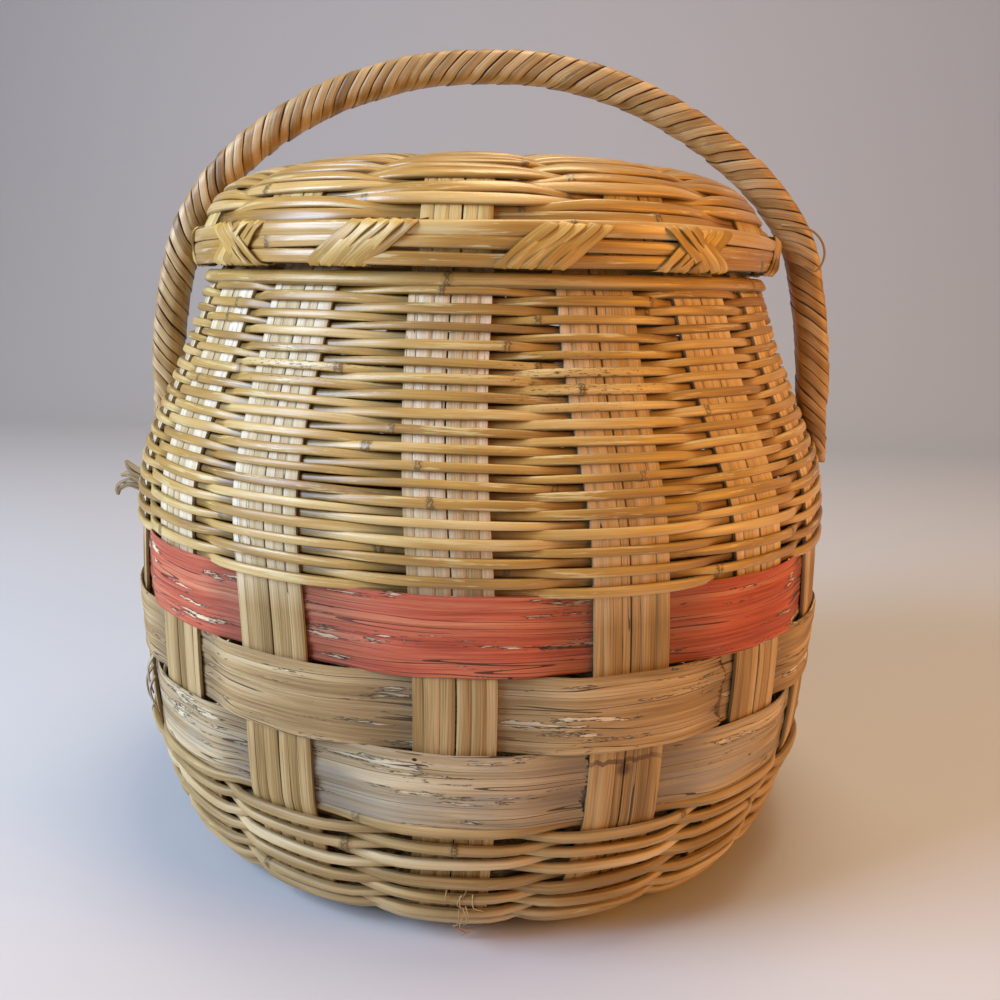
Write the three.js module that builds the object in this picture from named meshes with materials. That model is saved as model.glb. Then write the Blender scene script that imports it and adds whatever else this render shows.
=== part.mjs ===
// Round lidded wicker basket with a wrapped arch handle, in millimetres, +Z up.
// Origin: centre of the base on the floor. The handle runs along X, the front faces -Y.
import * as THREE from 'three';

// Whole basket
const BELLY_RADIUS = 178.5;
const BODY_HEIGHT = 291;
const STAKE_COUNT = 16;
const CLEARANCE = 0.3;

// Slats: eight long bundles of splints that cross under the base and rise as sixteen stakes
const SLAT_THICKNESS = 2;
const SLAT_WIDTH_AT_BASE = 26;
const SLAT_WIDTH_ON_WALL = 33;
const SLAT_PITCH_IN_PLAIT = 34;
const SLAT_TOP_DROP = 0.4;

// Lower weave: thick round rods under the base and up to the bands
const LOWER_ROWS = 22;
const LOWER_ROD_DEPTH = 4.2;
const LOWER_ROW_GAP = 1.2;
const LOWER_WEAVE_START = 5;

// Wide hoops round the belly
const BAND_COUNT = 3;
const BAND_BOTTOM_HEIGHT = 66.5;
const BAND_WIDTH = 31.6;
const BAND_THICKNESS = 1.2;
const BAND_GAP = 1;
const BAND_LAP_STAKES = [12, 13, 4];
const BAND_END_SHARE = 0.42;

// Upper weave: thin split rods from the bands to the shoulder
const UPPER_ROWS = 34;
const UPPER_ROD_DEPTH = 2.4;
const UPPER_ROW_GAP = 0.6;
const LOWER_ROWS_PER_BEND = 2;
const ROWS_PER_BEND = 8;

// Shoulder hoop that carries the lid, and the two hoops that clamp the mouth
const SEAT_HOOP_DROP = 9.8;
const SEAT_HOOP_WIDTH = 4.4;
const SEAT_HOOP_DEPTH = 5.5;
const MOUTH_HOOP_WIDTH = 3.2;
const MOUTH_HOOP_DEPTH = 2.4;
const MOUTH_HOOP_DROP = 2.2;

// Lid
const LID_STAKE_COUNT = 12;
const LID_OVERHANG = 11.5;
const LID_HEIGHT = 48;
const LID_SLAT_WIDTH_AT_PLAIT = 22;
const LID_SLAT_WIDTH_AT_RIM = 28;
const LID_SLAT_PITCH = 28;
const LID_ROWS = 14;
const LID_STRIP_DEPTH = 2.4;
const LID_STEEP_SHARE = 0.3;
const LID_ROW_GAP = 0.6;
const LID_WEAVE_START = 4;
const RIM_ROD_COUNT = 3;
const RIM_ROD_HEIGHT = 5;
const RIM_ROD_DEPTH = 3;
const RIM_INNER_HOOP_DEPTH = 1.6;
const RIM_INNER_HOOP_WIDTH = 11;
const LASH_LOOPS = 5;
const LASH_PITCH = 5;
const LASH_STRIP_WIDTH = 4.3;
const LASH_THICKNESS = 1.1;
const LASH_SLANT = 11;
const LID_WEAVE_RIM_GAP = 1.6;

// Handle: a bent wooden core wound with one flat strip bundle
const HANDLE_LEG_GAP = 2.4;
const HANDLE_HAND_GAP = 52.9;
const HANDLE_FOOT_RISE = 31;
const CORE_WIDTH = 17;
const CORE_THICKNESS = 12.4;
const CORE_CHAMFER = 3.4;
const HANDLE_ENTRY_HEIGHT = 205;
const TANG_LENGTH = 26;
const TANG_WIDTH = 14;
const TANG_THICKNESS = 2;
const WRAP_LOOPS = 16;
const WRAP_STEPS = 8;
const WRAP_THICKNESS = 1.7;
const WRAP_CLEARANCE = 0.6;
const WRAP_LOOP_GAP = 5;
const WRAP_END_MARGIN = 8;

// Outlines as shares of the belly radius and the body height
const BODY_PROFILE_SHARES = [
  [0.751, 0], [0.818, 0.0053], [0.871, 0.026], [0.905, 0.0588], [0.925, 0.0958], [0.941, 0.1344],
  [0.958, 0.168], [0.979, 0.203], [0.988, 0.248], [0.996, 0.324], [1, 0.4],
  [0.999, 0.467], [0.995, 0.543], [0.988, 0.611], [0.975, 0.66], [0.946, 0.712],
  [0.909, 0.764], [0.874, 0.813], [0.842, 0.86], [0.814, 0.908], [0.789, 0.951],
  [0.769, 0.97], [0.753, 0.984], [0.743, 1],
];
const LID_PROFILE_SHARES = [
  [0.458, 0.994], [0.555, 0.965], [0.659, 0.915], [0.761, 0.844], [0.841, 0.756], [0.901, 0.652],
  [0.939, 0.552], [0.964, 0.463], [0.984, 0.391], [0.999, 0.32], [1, 0.2], [1, 0.1], [1, 0],
];
const HANDLE_SPAN_SHARES = [
  [1, 0], [0.994, 0.104], [0.98, 0.208], [0.961, 0.306], [0.939, 0.404], [0.913, 0.476],
  [0.872, 0.554], [0.817, 0.635], [0.748, 0.71], [0.661, 0.785], [0.568, 0.847],
  [0.458, 0.906], [0.336, 0.951], [0.209, 0.984], [0.0985, 0.997], [0, 1],
];
const CORE_FOOT_THICKNESS_SHARE = 0.62;
const SPAN_SAMPLES = 400;

const HALF_SLAT = SLAT_THICKNESS / 2;
const BASE_LEVEL = HALF_SLAT + CLEARANCE + LOWER_ROD_DEPTH;
const PLAIT_WAVE = HALF_SLAT + CLEARANCE / 2;
const PLAIT_SIDE = (STAKE_COUNT / 4 - 1) / 2;
const PLAIT_EDGE = PLAIT_SIDE * SLAT_PITCH_IN_PLAIT + SLAT_WIDTH_AT_BASE / 2;
const PLAIT_TRANSITION = SLAT_PITCH_IN_PLAIT - SLAT_WIDTH_AT_BASE;
const PLAIT_FAN = (PLAIT_SIDE * 2 * Math.PI) / STAKE_COUNT;
const PLAIT_REACH = (PLAIT_EDGE + PLAIT_TRANSITION) / Math.cos(PLAIT_FAN);
const SPLAY_RADIUS = PLAIT_REACH + SLAT_PITCH_IN_PLAIT / 2 + HALF_SLAT;

const Y_AXIS = new THREE.Vector3(0, 1, 0);
const Z_AXIS = new THREE.Vector3(0, 0, 1);

// Curved outline of a woven wall, read by its length in the plane of one stake
class Outline {
  constructor(points, outward) {
    const path = points.map(([r, z]) => new THREE.Vector3(r, 0, z));
    this.curve = new THREE.CatmullRomCurve3(path, false, 'centripetal');
    this.curve.arcLengthDivisions = 1200;
    this.length = this.curve.getLength();
    this.outward = outward;
  }

  share(s) {
    return THREE.MathUtils.clamp(s / this.length, 0, 1);
  }

  point(s) {
    return this.curve.getPointAt(this.share(s));
  }

  along(s) {
    return this.curve.getTangentAt(this.share(s));
  }

  lengthAtHeight(z, from) {
    let low = from;
    let high = this.length;
    for (let i = 0; i < 50; i += 1) {
      const middle = (low + high) / 2;
      const above = (this.point(middle).z - z) * this.outward > 0;
      if (above) high = middle;
      else low = middle;
    }
    return (low + high) / 2;
  }
}

// The outline as one stake follows it: straight between stations that fall in the gaps of its rows
class StakeLine {
  constructor(outline, stations) {
    this.outward = outline.outward;
    this.stations = [...stations].sort((a, b) => a - b);
    this.points = this.stations.map((s) => outline.point(s));
  }

  piece(s) {
    let i = 0;
    while (i < this.stations.length - 2 && s > this.stations[i + 1]) i += 1;
    return i;
  }

  point(s) {
    const i = this.piece(s);
    const share = (s - this.stations[i]) / (this.stations[i + 1] - this.stations[i]);
    return this.points[i].clone().lerp(this.points[i + 1], share);
  }

  along(s) {
    const i = this.piece(s);
    return this.points[i + 1].clone().sub(this.points[i]).normalize();
  }

  normal(s) {
    const t = this.along(s);
    return new THREE.Vector3(t.z, 0, -t.x).multiplyScalar(this.outward);
  }

  // Square to the bend at a station, and how much wider the slat is there
  joint(i) {
    const before = this.points[i].clone().sub(this.points[Math.max(i - 1, 0)]);
    const after = this.points[Math.min(i + 1, this.points.length - 1)].clone().sub(this.points[i]);
    if (before.lengthSq() === 0) before.copy(after);
    if (after.lengthSq() === 0) after.copy(before);
    const t = before.normalize().clone().add(after.normalize()).normalize();
    const normal = new THREE.Vector3(t.z, 0, -t.x).multiplyScalar(this.outward);
    return normal.multiplyScalar(1 / after.dot(t));
  }
}

function turned(vector, angle) {
  return vector.clone().applyAxisAngle(Z_AXIS, angle);
}

// Closed body through equal rings of points, capped at both ends unless it closes on itself
function skin(rings, closed) {
  const size = rings[0].length;
  const points = rings.flat();
  const faces = [];
  const last = closed ? rings.length : rings.length - 1;
  for (let i = 0; i < last; i += 1) {
    const next = (i + 1) % rings.length;
    for (let j = 0; j < size; j += 1) {
      const k = (j + 1) % size;
      const a = i * size + j;
      const b = i * size + k;
      const c = next * size + k;
      const d = next * size + j;
      faces.push(a, b, c, a, c, d);
    }
  }
  if (!closed) {
    const end = (rings.length - 1) * size;
    for (let j = 1; j < size - 1; j += 1) {
      faces.push(0, j + 1, j);
      faces.push(end, end + j, end + j + 1);
    }
  }
  let volume = 0;
  for (let i = 0; i < faces.length; i += 3) {
    const [a, b, c] = [points[faces[i]], points[faces[i + 1]], points[faces[i + 2]]];
    volume += a.dot(b.clone().cross(c));
  }
  if (volume < 0) {
    for (let i = 0; i < faces.length; i += 3) {
      [faces[i + 1], faces[i + 2]] = [faces[i + 2], faces[i + 1]];
    }
  }
  const geometry = new THREE.BufferGeometry();
  geometry.setAttribute('position', new THREE.Float32BufferAttribute(points.flatMap((p) => p.toArray()), 3));
  geometry.setIndex(faces);
  return geometry.toNonIndexed();
}

// Sweeps a flat-sided section along straight pieces, mitred so that what lies on a stake lies flat
function sweep(path, section, closed) {
  const rings = path.map((station, i) => {
    const before = path[closed ? (i + path.length - 1) % path.length : Math.max(i - 1, 0)].at;
    const after = path[closed ? (i + 1) % path.length : Math.min(i + 1, path.length - 1)].at;
    const into = station.at.clone().sub(before);
    const out = after.clone().sub(station.at);
    if (into.lengthSq() === 0) into.copy(out);
    if (out.lengthSq() === 0) out.copy(into);
    into.normalize();
    out.normalize();
    const facing = into.clone().add(out).normalize();
    return section.map(([a, b]) => {
      const offset = station.up.clone().multiplyScalar(a).addScaledVector(station.side, b);
      offset.addScaledVector(station.flat, -offset.dot(facing) / station.flat.dot(facing));
      return station.at.clone().add(offset);
    });
  });
  return skin(rings, closed);
}

// Least distance of a winding's corners to the edges of its own next turns, in millimetres
function leastGap(rings, stepsPerTurn) {
  let least = Infinity;
  rings.forEach((ring, i) => {
    const until = Math.min(i + 2 * stepsPerTurn, rings.length - 1);
    for (let j = i + stepsPerTurn / 2 + 1; j < until; j += 1) {
      const edges = rings[j].map((p, k) => new THREE.Line3(p, rings[j + 1][k]));
      ring.forEach((p) => edges.forEach((edge) => {
        const nearest = edge.closestPointToPoint(p, true, new THREE.Vector3());
        least = Math.min(least, nearest.distanceTo(p));
      }));
    }
  });
  return least.toFixed(2);
}

function rectangle(height, depth) {
  const [a, b] = [height / 2, depth / 2];
  return [[-a, -b], [a, -b], [a, b], [-a, b]];
}

// Split rod: flat inside, ridged outside
function splitRod(height, depth) {
  return [[-height / 2, -depth / 2], [height / 2, -depth / 2], [0, depth / 2]];
}

function slatWidth(outline, s, narrow, wide, from, to) {
  const share = (outline.point(s).x - from) / (to - from);
  return narrow + (wide - narrow) * Math.min(share, 1);
}

// One place on the flat of a stake, at a sideways distance and an offset from the wall
function onStake(wall, s, stake, offset, sideways) {
  const line = wall.lines[((stake % wall.count) + wall.count) % wall.count];
  const angle = (stake * 2 * Math.PI) / wall.count;
  const at = line.point(s).addScaledVector(line.normal(s), offset);
  at.y = sideways;
  return {
    at: turned(at, angle),
    up: turned(line.along(s), angle),
    side: turned(line.normal(s), angle),
    flat: turned(Y_AXIS, angle),
  };
}

// A weaver that climbs one double row a turn, passing outside and inside the stakes by turns
function weaver(wall, first, turns, start, rise, reach, section) {
  const path = [];
  for (let k = 0; k <= turns * wall.count; k += 1) {
    const stake = first + k;
    const s = start + (rise * k) / wall.count;
    const outside = (stake + first / (wall.count / 2)) % 2 === 0;
    const offset = (outside ? 1 : -1) * (reach + wall.lift(s, stake, outside));
    const half = wall.width(s) / 2 + HALF_SLAT;
    path.push(onStake(wall, s, stake, offset, -half));
    path.push(onStake(wall, s, stake, offset, half));
  }
  return sweep(path, section, false);
}

// A plain hoop that follows the flats of the stakes
function hoop(wall, s, offset, section) {
  const path = [];
  const half = wall.width(s) / 2 + HALF_SLAT;
  for (let stake = 0; stake < wall.count; stake += 1) {
    path.push(onStake(wall, s, stake, offset, -half));
    path.push(onStake(wall, s, stake, offset, half));
  }
  return sweep(path, section, true);
}

// Places of the slats that lie side by side in a plait, as shares of its pitch
function plaitRows(count) {
  return Array.from({ length: count / 4 }, (_, i) => i - (count / 4 - 1) / 2);
}

// A long slat: one end, the plait in the middle, the other end
function slat(wall, row, quarter, level, sign, plaitPitch, plaitWidth, splay) {
  const rings = [];
  const step = (2 * Math.PI) / wall.count;
  const rows = plaitRows(wall.count);
  const even = rows.length % 2 === 0;
  const heading = (quarter * Math.PI) / 2 + (even ? step / 2 : 0);
  const transition = plaitPitch - plaitWidth;
  const ring = (at, across, up, width) => {
    const w = across.clone().multiplyScalar(width / 2);
    const t = up.clone().multiplyScalar(HALF_SLAT);
    rings.push([
      at.clone().sub(w).sub(t), at.clone().add(w).sub(t), at.clone().add(w).add(t), at.clone().sub(w).add(t),
    ]);
  };
  const end = (direction) => {
    const angle = (direction > 0 ? row * step : Math.PI - row * step) + heading;
    const line = wall.lines[Math.round(angle / step + wall.count) % wall.count];
    const list = line.stations.map((s, i) => () => {
      const across = turned(new THREE.Vector3(0, direction, 0), angle);
      const up = turned(line.joint(i), angle).multiplyScalar(-line.outward);
      ring(turned(line.points[i], angle), across, up, wall.width(s));
    });
    const edge = rows[rows.length - 1] * plaitPitch + plaitWidth / 2 + transition;
    const corner = new THREE.Vector2(splay * Math.cos(step * row), splay * Math.sin(step * row));
    const lean = Math.atan2(corner.y - row * plaitPitch, corner.x - edge);
    const bend = () => {
      const at = turned(new THREE.Vector3(direction * edge, row * plaitPitch, level), heading);
      const across = turned(Y_AXIS, heading + (direction * lean) / 2);
      ring(at, across, Z_AXIS, plaitWidth / Math.cos(lean / 2));
    };
    return { list, bend };
  };
  const back = end(-1);
  const front = end(1);
  back.list.slice().reverse().forEach((make) => make());
  back.bend();
  rows.forEach((crossing) => {
    const high = (row + crossing) % 2 === 0 ? 1 : -1;
    const wave = high * sign * (even || quarter === 0 ? 1 : -1) * PLAIT_WAVE;
    [-1, 1].forEach((half) => {
      const x = crossing * plaitPitch + (half * plaitWidth) / 2;
      const at = turned(new THREE.Vector3(x, row * plaitPitch, level + wave), heading);
      ring(at, turned(Y_AXIS, heading), Z_AXIS, plaitWidth);
    });
  });
  front.bend();
  front.list.forEach((make) => make());
  return skin(rings, false);
}

const basket = new THREE.Group();
basket.name = 'wicker_basket';

function add(parent, name, geometry, color, roughness) {
  const material = new THREE.MeshStandardMaterial({ color, roughness, metalness: 0 });
  material.name = name;
  const mesh = new THREE.Mesh(geometry, material);
  mesh.name = name;
  parent.add(mesh);
}

const body = new THREE.Group();
body.name = 'body';
const lid = new THREE.Group();
lid.name = 'lid';
const handle = new THREE.Group();
handle.name = 'handle';
basket.add(body, lid, handle);

// Body wall: flat base from the splay of the slats, rounded foot, belly, shoulder and neck
const bodyRise = BODY_HEIGHT - BASE_LEVEL;
const bodyPoints = BODY_PROFILE_SHARES.map(([r, z]) => [r * BELLY_RADIUS, BASE_LEVEL + z * bodyRise]);
const footRadius = bodyPoints[0][0];
const flatRadius = footRadius - SLAT_THICKNESS;
const middleRadius = (SPLAY_RADIUS + flatRadius) / 2;
bodyPoints.unshift(...[SPLAY_RADIUS, middleRadius, flatRadius].map((r) => [r, BASE_LEVEL]));
const bodyOutline = new Outline(bodyPoints, 1);
const bodyWall = {
  outline: bodyOutline,
  count: STAKE_COUNT,
  width: (s) => slatWidth(bodyOutline, s, SLAT_WIDTH_AT_BASE, SLAT_WIDTH_ON_WALL, SPLAY_RADIUS, footRadius),
  lift: () => 0,
};
const slatTop = bodyOutline.length - SLAT_TOP_DROP;

// Heights of the rows along the wall
const wallStart = bodyOutline.length / 4;
const bandBottom = bodyOutline.lengthAtHeight(BAND_BOTTOM_HEIGHT, wallStart);
const bandPitch = BAND_WIDTH + BAND_GAP;
const bandTop = bandBottom + BAND_COUNT * bandPitch - BAND_GAP;
const mouthAt = bodyOutline.length - MOUTH_HOOP_DROP;
const seatHoopAt = bodyOutline.lengthAtHeight(BODY_HEIGHT - SEAT_HOOP_DROP, wallStart);
const upperStart = bandTop + BAND_GAP;
const upperEnd = seatHoopAt - SEAT_HOOP_WIDTH / 2 - UPPER_ROW_GAP;
const upperPitch = (upperEnd - upperStart) / (UPPER_ROWS + 1);
const upperRod = upperPitch - UPPER_ROW_GAP;
const lowerPitch = (bandBottom - BAND_GAP - LOWER_WEAVE_START) / (LOWER_ROWS + 1);
const lowerRod = lowerPitch - LOWER_ROW_GAP;
const upperReach = HALF_SLAT + CLEARANCE + UPPER_ROD_DEPTH / 2;
const lowerReach = HALF_SLAT + CLEARANCE + LOWER_ROD_DEPTH / 2;

// Each stake bends only in the gaps between its rows
const upperFirst = upperStart + upperPitch / 2;
const lowerFirst = LOWER_WEAVE_START + lowerPitch / 2;
const flatRun = flatRadius - SPLAY_RADIUS;
bodyWall.lines = Array.from({ length: STAKE_COUNT }, (_, stake) => {
  const stations = [0];
  const lowerAtStake = lowerFirst + (2 * lowerPitch * stake) / STAKE_COUNT - lowerPitch / 2;
  const lowerStep = LOWER_ROWS_PER_BEND * lowerPitch;
  for (let s = lowerAtStake; s < bandBottom - BAND_GAP - lowerPitch / 2; s += lowerStep) {
    if (s > flatRun - lowerStep) stations.push(s);
  }
  for (let band = 0; band <= BAND_COUNT; band += 1) stations.push(bandBottom - BAND_GAP / 2 + band * bandPitch);
  const upperAtStake = upperFirst + (2 * upperPitch * stake) / STAKE_COUNT - upperPitch / 2;
  const step = ROWS_PER_BEND * upperPitch;
  for (let s = upperAtStake + step; s < upperEnd - step / 2; s += step) stations.push(s);
  const seatHalf = SEAT_HOOP_WIDTH / 2 + UPPER_ROW_GAP;
  stations.push(seatHoopAt - seatHalf + UPPER_ROW_GAP / 2, seatHoopAt + seatHalf);
  stations.push(mouthAt - MOUTH_HOOP_WIDTH / 2 - CLEARANCE, slatTop);
  return new StakeLine(bodyOutline, stations);
});

// Eight slats
const ways = ['along', 'across'];
const slatSides = ['left', 'inner_left', 'inner_right', 'right'];
ways.forEach((way, quarter) => {
  plaitRows(STAKE_COUNT).forEach((row, i) => {
    const name = `slat_${way}_${slatSides[i]}`;
    const shape = slat(
      bodyWall, row, quarter, BASE_LEVEL, 1, SLAT_PITCH_IN_PLAIT, SLAT_WIDTH_AT_BASE, SPLAY_RADIUS,
    );
    add(body, name, shape, '#dcc79a', 0.6);
  });
});

// Handle ends go down between two rows of the upper weave onto the stakes at each side
const rowAtStake = (stake) => upperFirst + (2 * upperPitch * stake) / STAKE_COUNT;
const entryTarget = bodyOutline.lengthAtHeight(HANDLE_ENTRY_HEIGHT, wallStart);
function entryAt(stake) {
  const turn = Math.round((entryTarget - rowAtStake(stake)) / (2 * upperPitch) - 0.5);
  return rowAtStake(stake) + 2 * upperPitch * (turn + 0.5);
}
const sideStakes = [0, STAKE_COUNT / 2];
const tangLift = TANG_THICKNESS + CLEARANCE;
const upperWall = {
  ...bodyWall,
  lift: (s, stake, outside) => {
    const around = stake % STAKE_COUNT;
    if (!outside || !sideStakes.includes(around)) return 0;
    const entry = entryAt(around);
    const covered = s < entry && s > entry - TANG_LENGTH - upperPitch;
    return covered ? tangLift : 0;
  },
};

// Lower and upper weaves, each a pair of chasing weavers
const pairs = ['a', 'b'];
pairs.forEach((letter, i) => {
  const first = (i * STAKE_COUNT) / 2;
  const lower = weaver(
    bodyWall, first, LOWER_ROWS / 2, lowerFirst, 2 * lowerPitch, lowerReach,
    rectangle(lowerRod, LOWER_ROD_DEPTH),
  );
  add(body, `lower_weaver_${letter}`, lower, '#b98a45', 0.5);
  const upper = weaver(
    upperWall, first, UPPER_ROWS / 2, upperFirst, 2 * upperPitch, upperReach,
    splitRod(upperRod, UPPER_ROD_DEPTH),
  );
  add(body, `upper_weaver_${letter}`, upper, '#c9984f', 0.45);
});

// Three wide hoops, each lapped over one stake
const bandNames = ['band_lower', 'band_middle', 'band_red'];
const bandColors = ['#cda25e', '#cfa868', '#d0543a'];
for (let band = 0; band < BAND_COUNT; band += 1) {
  const s = bandBottom + BAND_WIDTH / 2 + band * bandPitch;
  const lapStake = BAND_LAP_STAKES[band];
  const near = HALF_SLAT + CLEARANCE + BAND_THICKNESS / 2;
  const far = near + BAND_THICKNESS + CLEARANCE;
  const half = bodyWall.width(s) / 2 + HALF_SLAT;
  const path = [];
  for (let k = -1; k <= STAKE_COUNT; k += 1) {
    const stake = lapStake + k;
    const outside = (stake - lapStake + STAKE_COUNT) % 2 === 0;
    let offset = outside ? near : -near;
    if (k === -1) offset = -far;
    if (k === STAKE_COUNT) offset = far;
    path.push(onStake(bodyWall, s, stake, offset, -half));
    path.push(onStake(bodyWall, s, stake, offset, half));
  }
  const last = path[path.length - 1];
  const beyond = onStake(bodyWall, s, lapStake + STAKE_COUNT + 1, -near + BAND_THICKNESS + CLEARANCE, -half);
  path.push({ ...last, at: last.at.clone().lerp(beyond.at, BAND_END_SHARE) });
  add(body, bandNames[band], sweep(path, rectangle(BAND_WIDTH, BAND_THICKNESS), false), bandColors[band], 0.55);
}

// Shoulder hoop, and the hoops inside and outside the mouth
const seatOffset = HALF_SLAT + CLEARANCE + SEAT_HOOP_DEPTH / 2;
const seatSection = rectangle(SEAT_HOOP_WIDTH, SEAT_HOOP_DEPTH);
add(body, 'seat_hoop', hoop(bodyWall, seatHoopAt, seatOffset, seatSection), '#b9853f', 0.5);
const mouthOffset = HALF_SLAT + CLEARANCE + MOUTH_HOOP_DEPTH / 2;
const mouthSection = rectangle(MOUTH_HOOP_WIDTH, MOUTH_HOOP_DEPTH);
add(body, 'mouth_hoop_outer', hoop(bodyWall, mouthAt, mouthOffset, mouthSection), '#b9853f', 0.5);
add(body, 'mouth_hoop_inner', hoop(bodyWall, mouthAt, -mouthOffset, mouthSection), '#b9853f', 0.5);

// The lid rests with its lashings on the shoulder hoop
const seatNormal = bodyWall.lines[0].normal(seatHoopAt);
const seatAlong = bodyWall.lines[0].along(seatHoopAt);
const seatTop = bodyWall.lines[0].point(seatHoopAt).z
  + seatNormal.z * (HALF_SLAT + CLEARANCE + SEAT_HOOP_DEPTH) + (seatAlong.z * SEAT_HOOP_WIDTH) / 2;
const rimBottom = seatTop + CLEARANCE + LASH_THICKNESS + CLEARANCE;
const neckRadius = bodyPoints[bodyPoints.length - 1][0];
const lidRadius = neckRadius + LID_OVERHANG;
const lidPoints = LID_PROFILE_SHARES.map(([r, z]) => [r * lidRadius, rimBottom + z * LID_HEIGHT]);
const lidSplay = lidPoints[0][0];
const lidOutline = new Outline(lidPoints, -1);
const lidWall = {
  outline: lidOutline,
  count: LID_STAKE_COUNT,
  width: (s) => slatWidth(lidOutline, s, LID_SLAT_WIDTH_AT_PLAIT, LID_SLAT_WIDTH_AT_RIM, lidSplay, lidRadius),
  lift: () => 0,
};
const rimPitch = RIM_ROD_HEIGHT + CLEARANCE;
const rimTop = rimBottom + RIM_ROD_COUNT * rimPitch - CLEARANCE;
const weaveBottom = rimTop + CLEARANCE + LASH_THICKNESS + LID_WEAVE_RIM_GAP;
const lidWeaveEnd = lidOutline.lengthAtHeight(weaveBottom, 0);
const rimTopAt = lidOutline.lengthAtHeight(rimTop + CLEARANCE, 0);
const lidPitch = (lidWeaveEnd - LID_WEAVE_START) / (LID_ROWS + 1);
const lidFirst = LID_WEAVE_START + lidPitch / 2;
lidWall.lines = Array.from({ length: LID_STAKE_COUNT }, (_, stake) => {
  const stations = [0];
  const lidAtStake = lidFirst + (2 * lidPitch * stake) / LID_STAKE_COUNT - lidPitch / 2;
  for (let s = lidAtStake + lidPitch; s < lidWeaveEnd - lidPitch / 2; s += lidPitch) {
    const steep = -lidOutline.along(s).z > LID_STEEP_SHARE;
    if (steep || s - stations[stations.length - 1] > 2.5 * lidPitch) stations.push(s);
  }
  stations.push(lidWeaveEnd, rimTopAt, lidOutline.length - CLEARANCE);
  return new StakeLine(lidOutline, stations);
});
const lidSlatSides = ['left', 'middle', 'right'];
ways.forEach((way, quarter) => {
  plaitRows(LID_STAKE_COUNT).forEach((row, i) => {
    const name = `lid_slat_${way}_${lidSlatSides[i]}`;
    const shape = slat(
      lidWall, row, quarter, lidPoints[0][1], -1, LID_SLAT_PITCH, LID_SLAT_WIDTH_AT_PLAIT, lidSplay,
    );
    add(lid, name, shape, '#d2b67c', 0.6);
  });
});

// Lid weave from the plait down to the rim
const lidReach = HALF_SLAT + CLEARANCE + LID_STRIP_DEPTH / 2;
pairs.forEach((letter, i) => {
  const first = (i * LID_STAKE_COUNT) / 2;
  const shape = weaver(
    lidWall, first, LID_ROWS / 2, lidFirst, 2 * lidPitch, lidReach,
    splitRod(lidPitch - LID_ROW_GAP, LID_STRIP_DEPTH),
  );
  add(lid, `lid_weaver_${letter}`, shape, '#c59347', 0.4);
});

// Rim: three rods outside the slats, a flat hoop inside
const rimReach = HALF_SLAT + CLEARANCE + RIM_ROD_DEPTH / 2;
for (let i = 0; i < RIM_ROD_COUNT; i += 1) {
  const s = lidOutline.lengthAtHeight(rimBottom + RIM_ROD_HEIGHT / 2 + i * rimPitch, 0);
  const shape = hoop(lidWall, s, rimReach, rectangle(RIM_ROD_HEIGHT, RIM_ROD_DEPTH));
  add(lid, `rim_rod_${i + 1}`, shape, '#bf8a3f', 0.4);
}
const innerAt = lidOutline.lengthAtHeight(rimBottom + (rimTop - rimBottom) / 2, 0);
const innerReach = HALF_SLAT + CLEARANCE + RIM_INNER_HOOP_DEPTH / 2;
const innerSection = rectangle(RIM_INNER_HOOP_WIDTH, RIM_INNER_HOOP_DEPTH);
add(lid, 'rim_inner_hoop', hoop(lidWall, innerAt, -innerReach, innerSection), '#bf8a3f', 0.5);

// Twelve lashings round the rim, midway between the stakes
const rimHalf = LID_SLAT_WIDTH_AT_RIM / 2 + HALF_SLAT;
const lidStep = (2 * Math.PI) / LID_STAKE_COUNT;
const midway = (r) => r * Math.cos(lidStep / 2) + rimHalf * Math.sin(lidStep / 2);
const lashPad = CLEARANCE + LASH_THICKNESS / 2;
const rimTopRadius = lidWall.lines[0].point(rimTopAt).x;
const lashIn = midway(rimTopRadius - innerReach - RIM_INNER_HOOP_DEPTH / 2) - lashPad;
const lashOut = midway(lidRadius + rimReach + RIM_ROD_DEPTH / 2) + lashPad;
const lashLow = rimBottom - lashPad;
const lashHigh = rimTop + lashPad;
const lashSpread = (LASH_LOOPS * LASH_PITCH + LASH_SLANT) / 2;
const lashSteps = 4;
for (let i = 0; i < LID_STAKE_COUNT; i += 1) {
  const angle = (i + 0.5) * lidStep;
  const rings = [];
  const corner = (r, z, t, outR, outZ) => {
    const a = LASH_THICKNESS / 2;
    const b = LASH_STRIP_WIDTH / 2;
    const place = (deep, wide) => turned(
      new THREE.Vector3(r + outR * deep * a, t + wide * b, z + outZ * deep * a), angle,
    );
    rings.push([place(-1, -1), place(1, 0), place(-1, 1)]);
  };
  for (let loop = 0; loop < LASH_LOOPS; loop += 1) {
    const t = loop * LASH_PITCH - lashSpread + LASH_PITCH / 2;
    corner(lashOut, lashLow, t, 1, -1);
    corner(lashOut, lashHigh, t + LASH_SLANT, 1, 1);
    corner(lashIn, lashHigh, t + LASH_SLANT, -1, 1);
    corner(lashIn, lashLow, t + LASH_PITCH, -1, -1);
  }
  const name = `rim_lashing_${String(i + 1).padStart(2, '0')}`;
  add(lid, name, skin(rings, false), '#cf9c4e', 0.4);
  console.log(`${name}: ${LASH_LOOPS} turns, least gap to itself ${leastGap(rings, lashSteps)} mm`);
}

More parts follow.
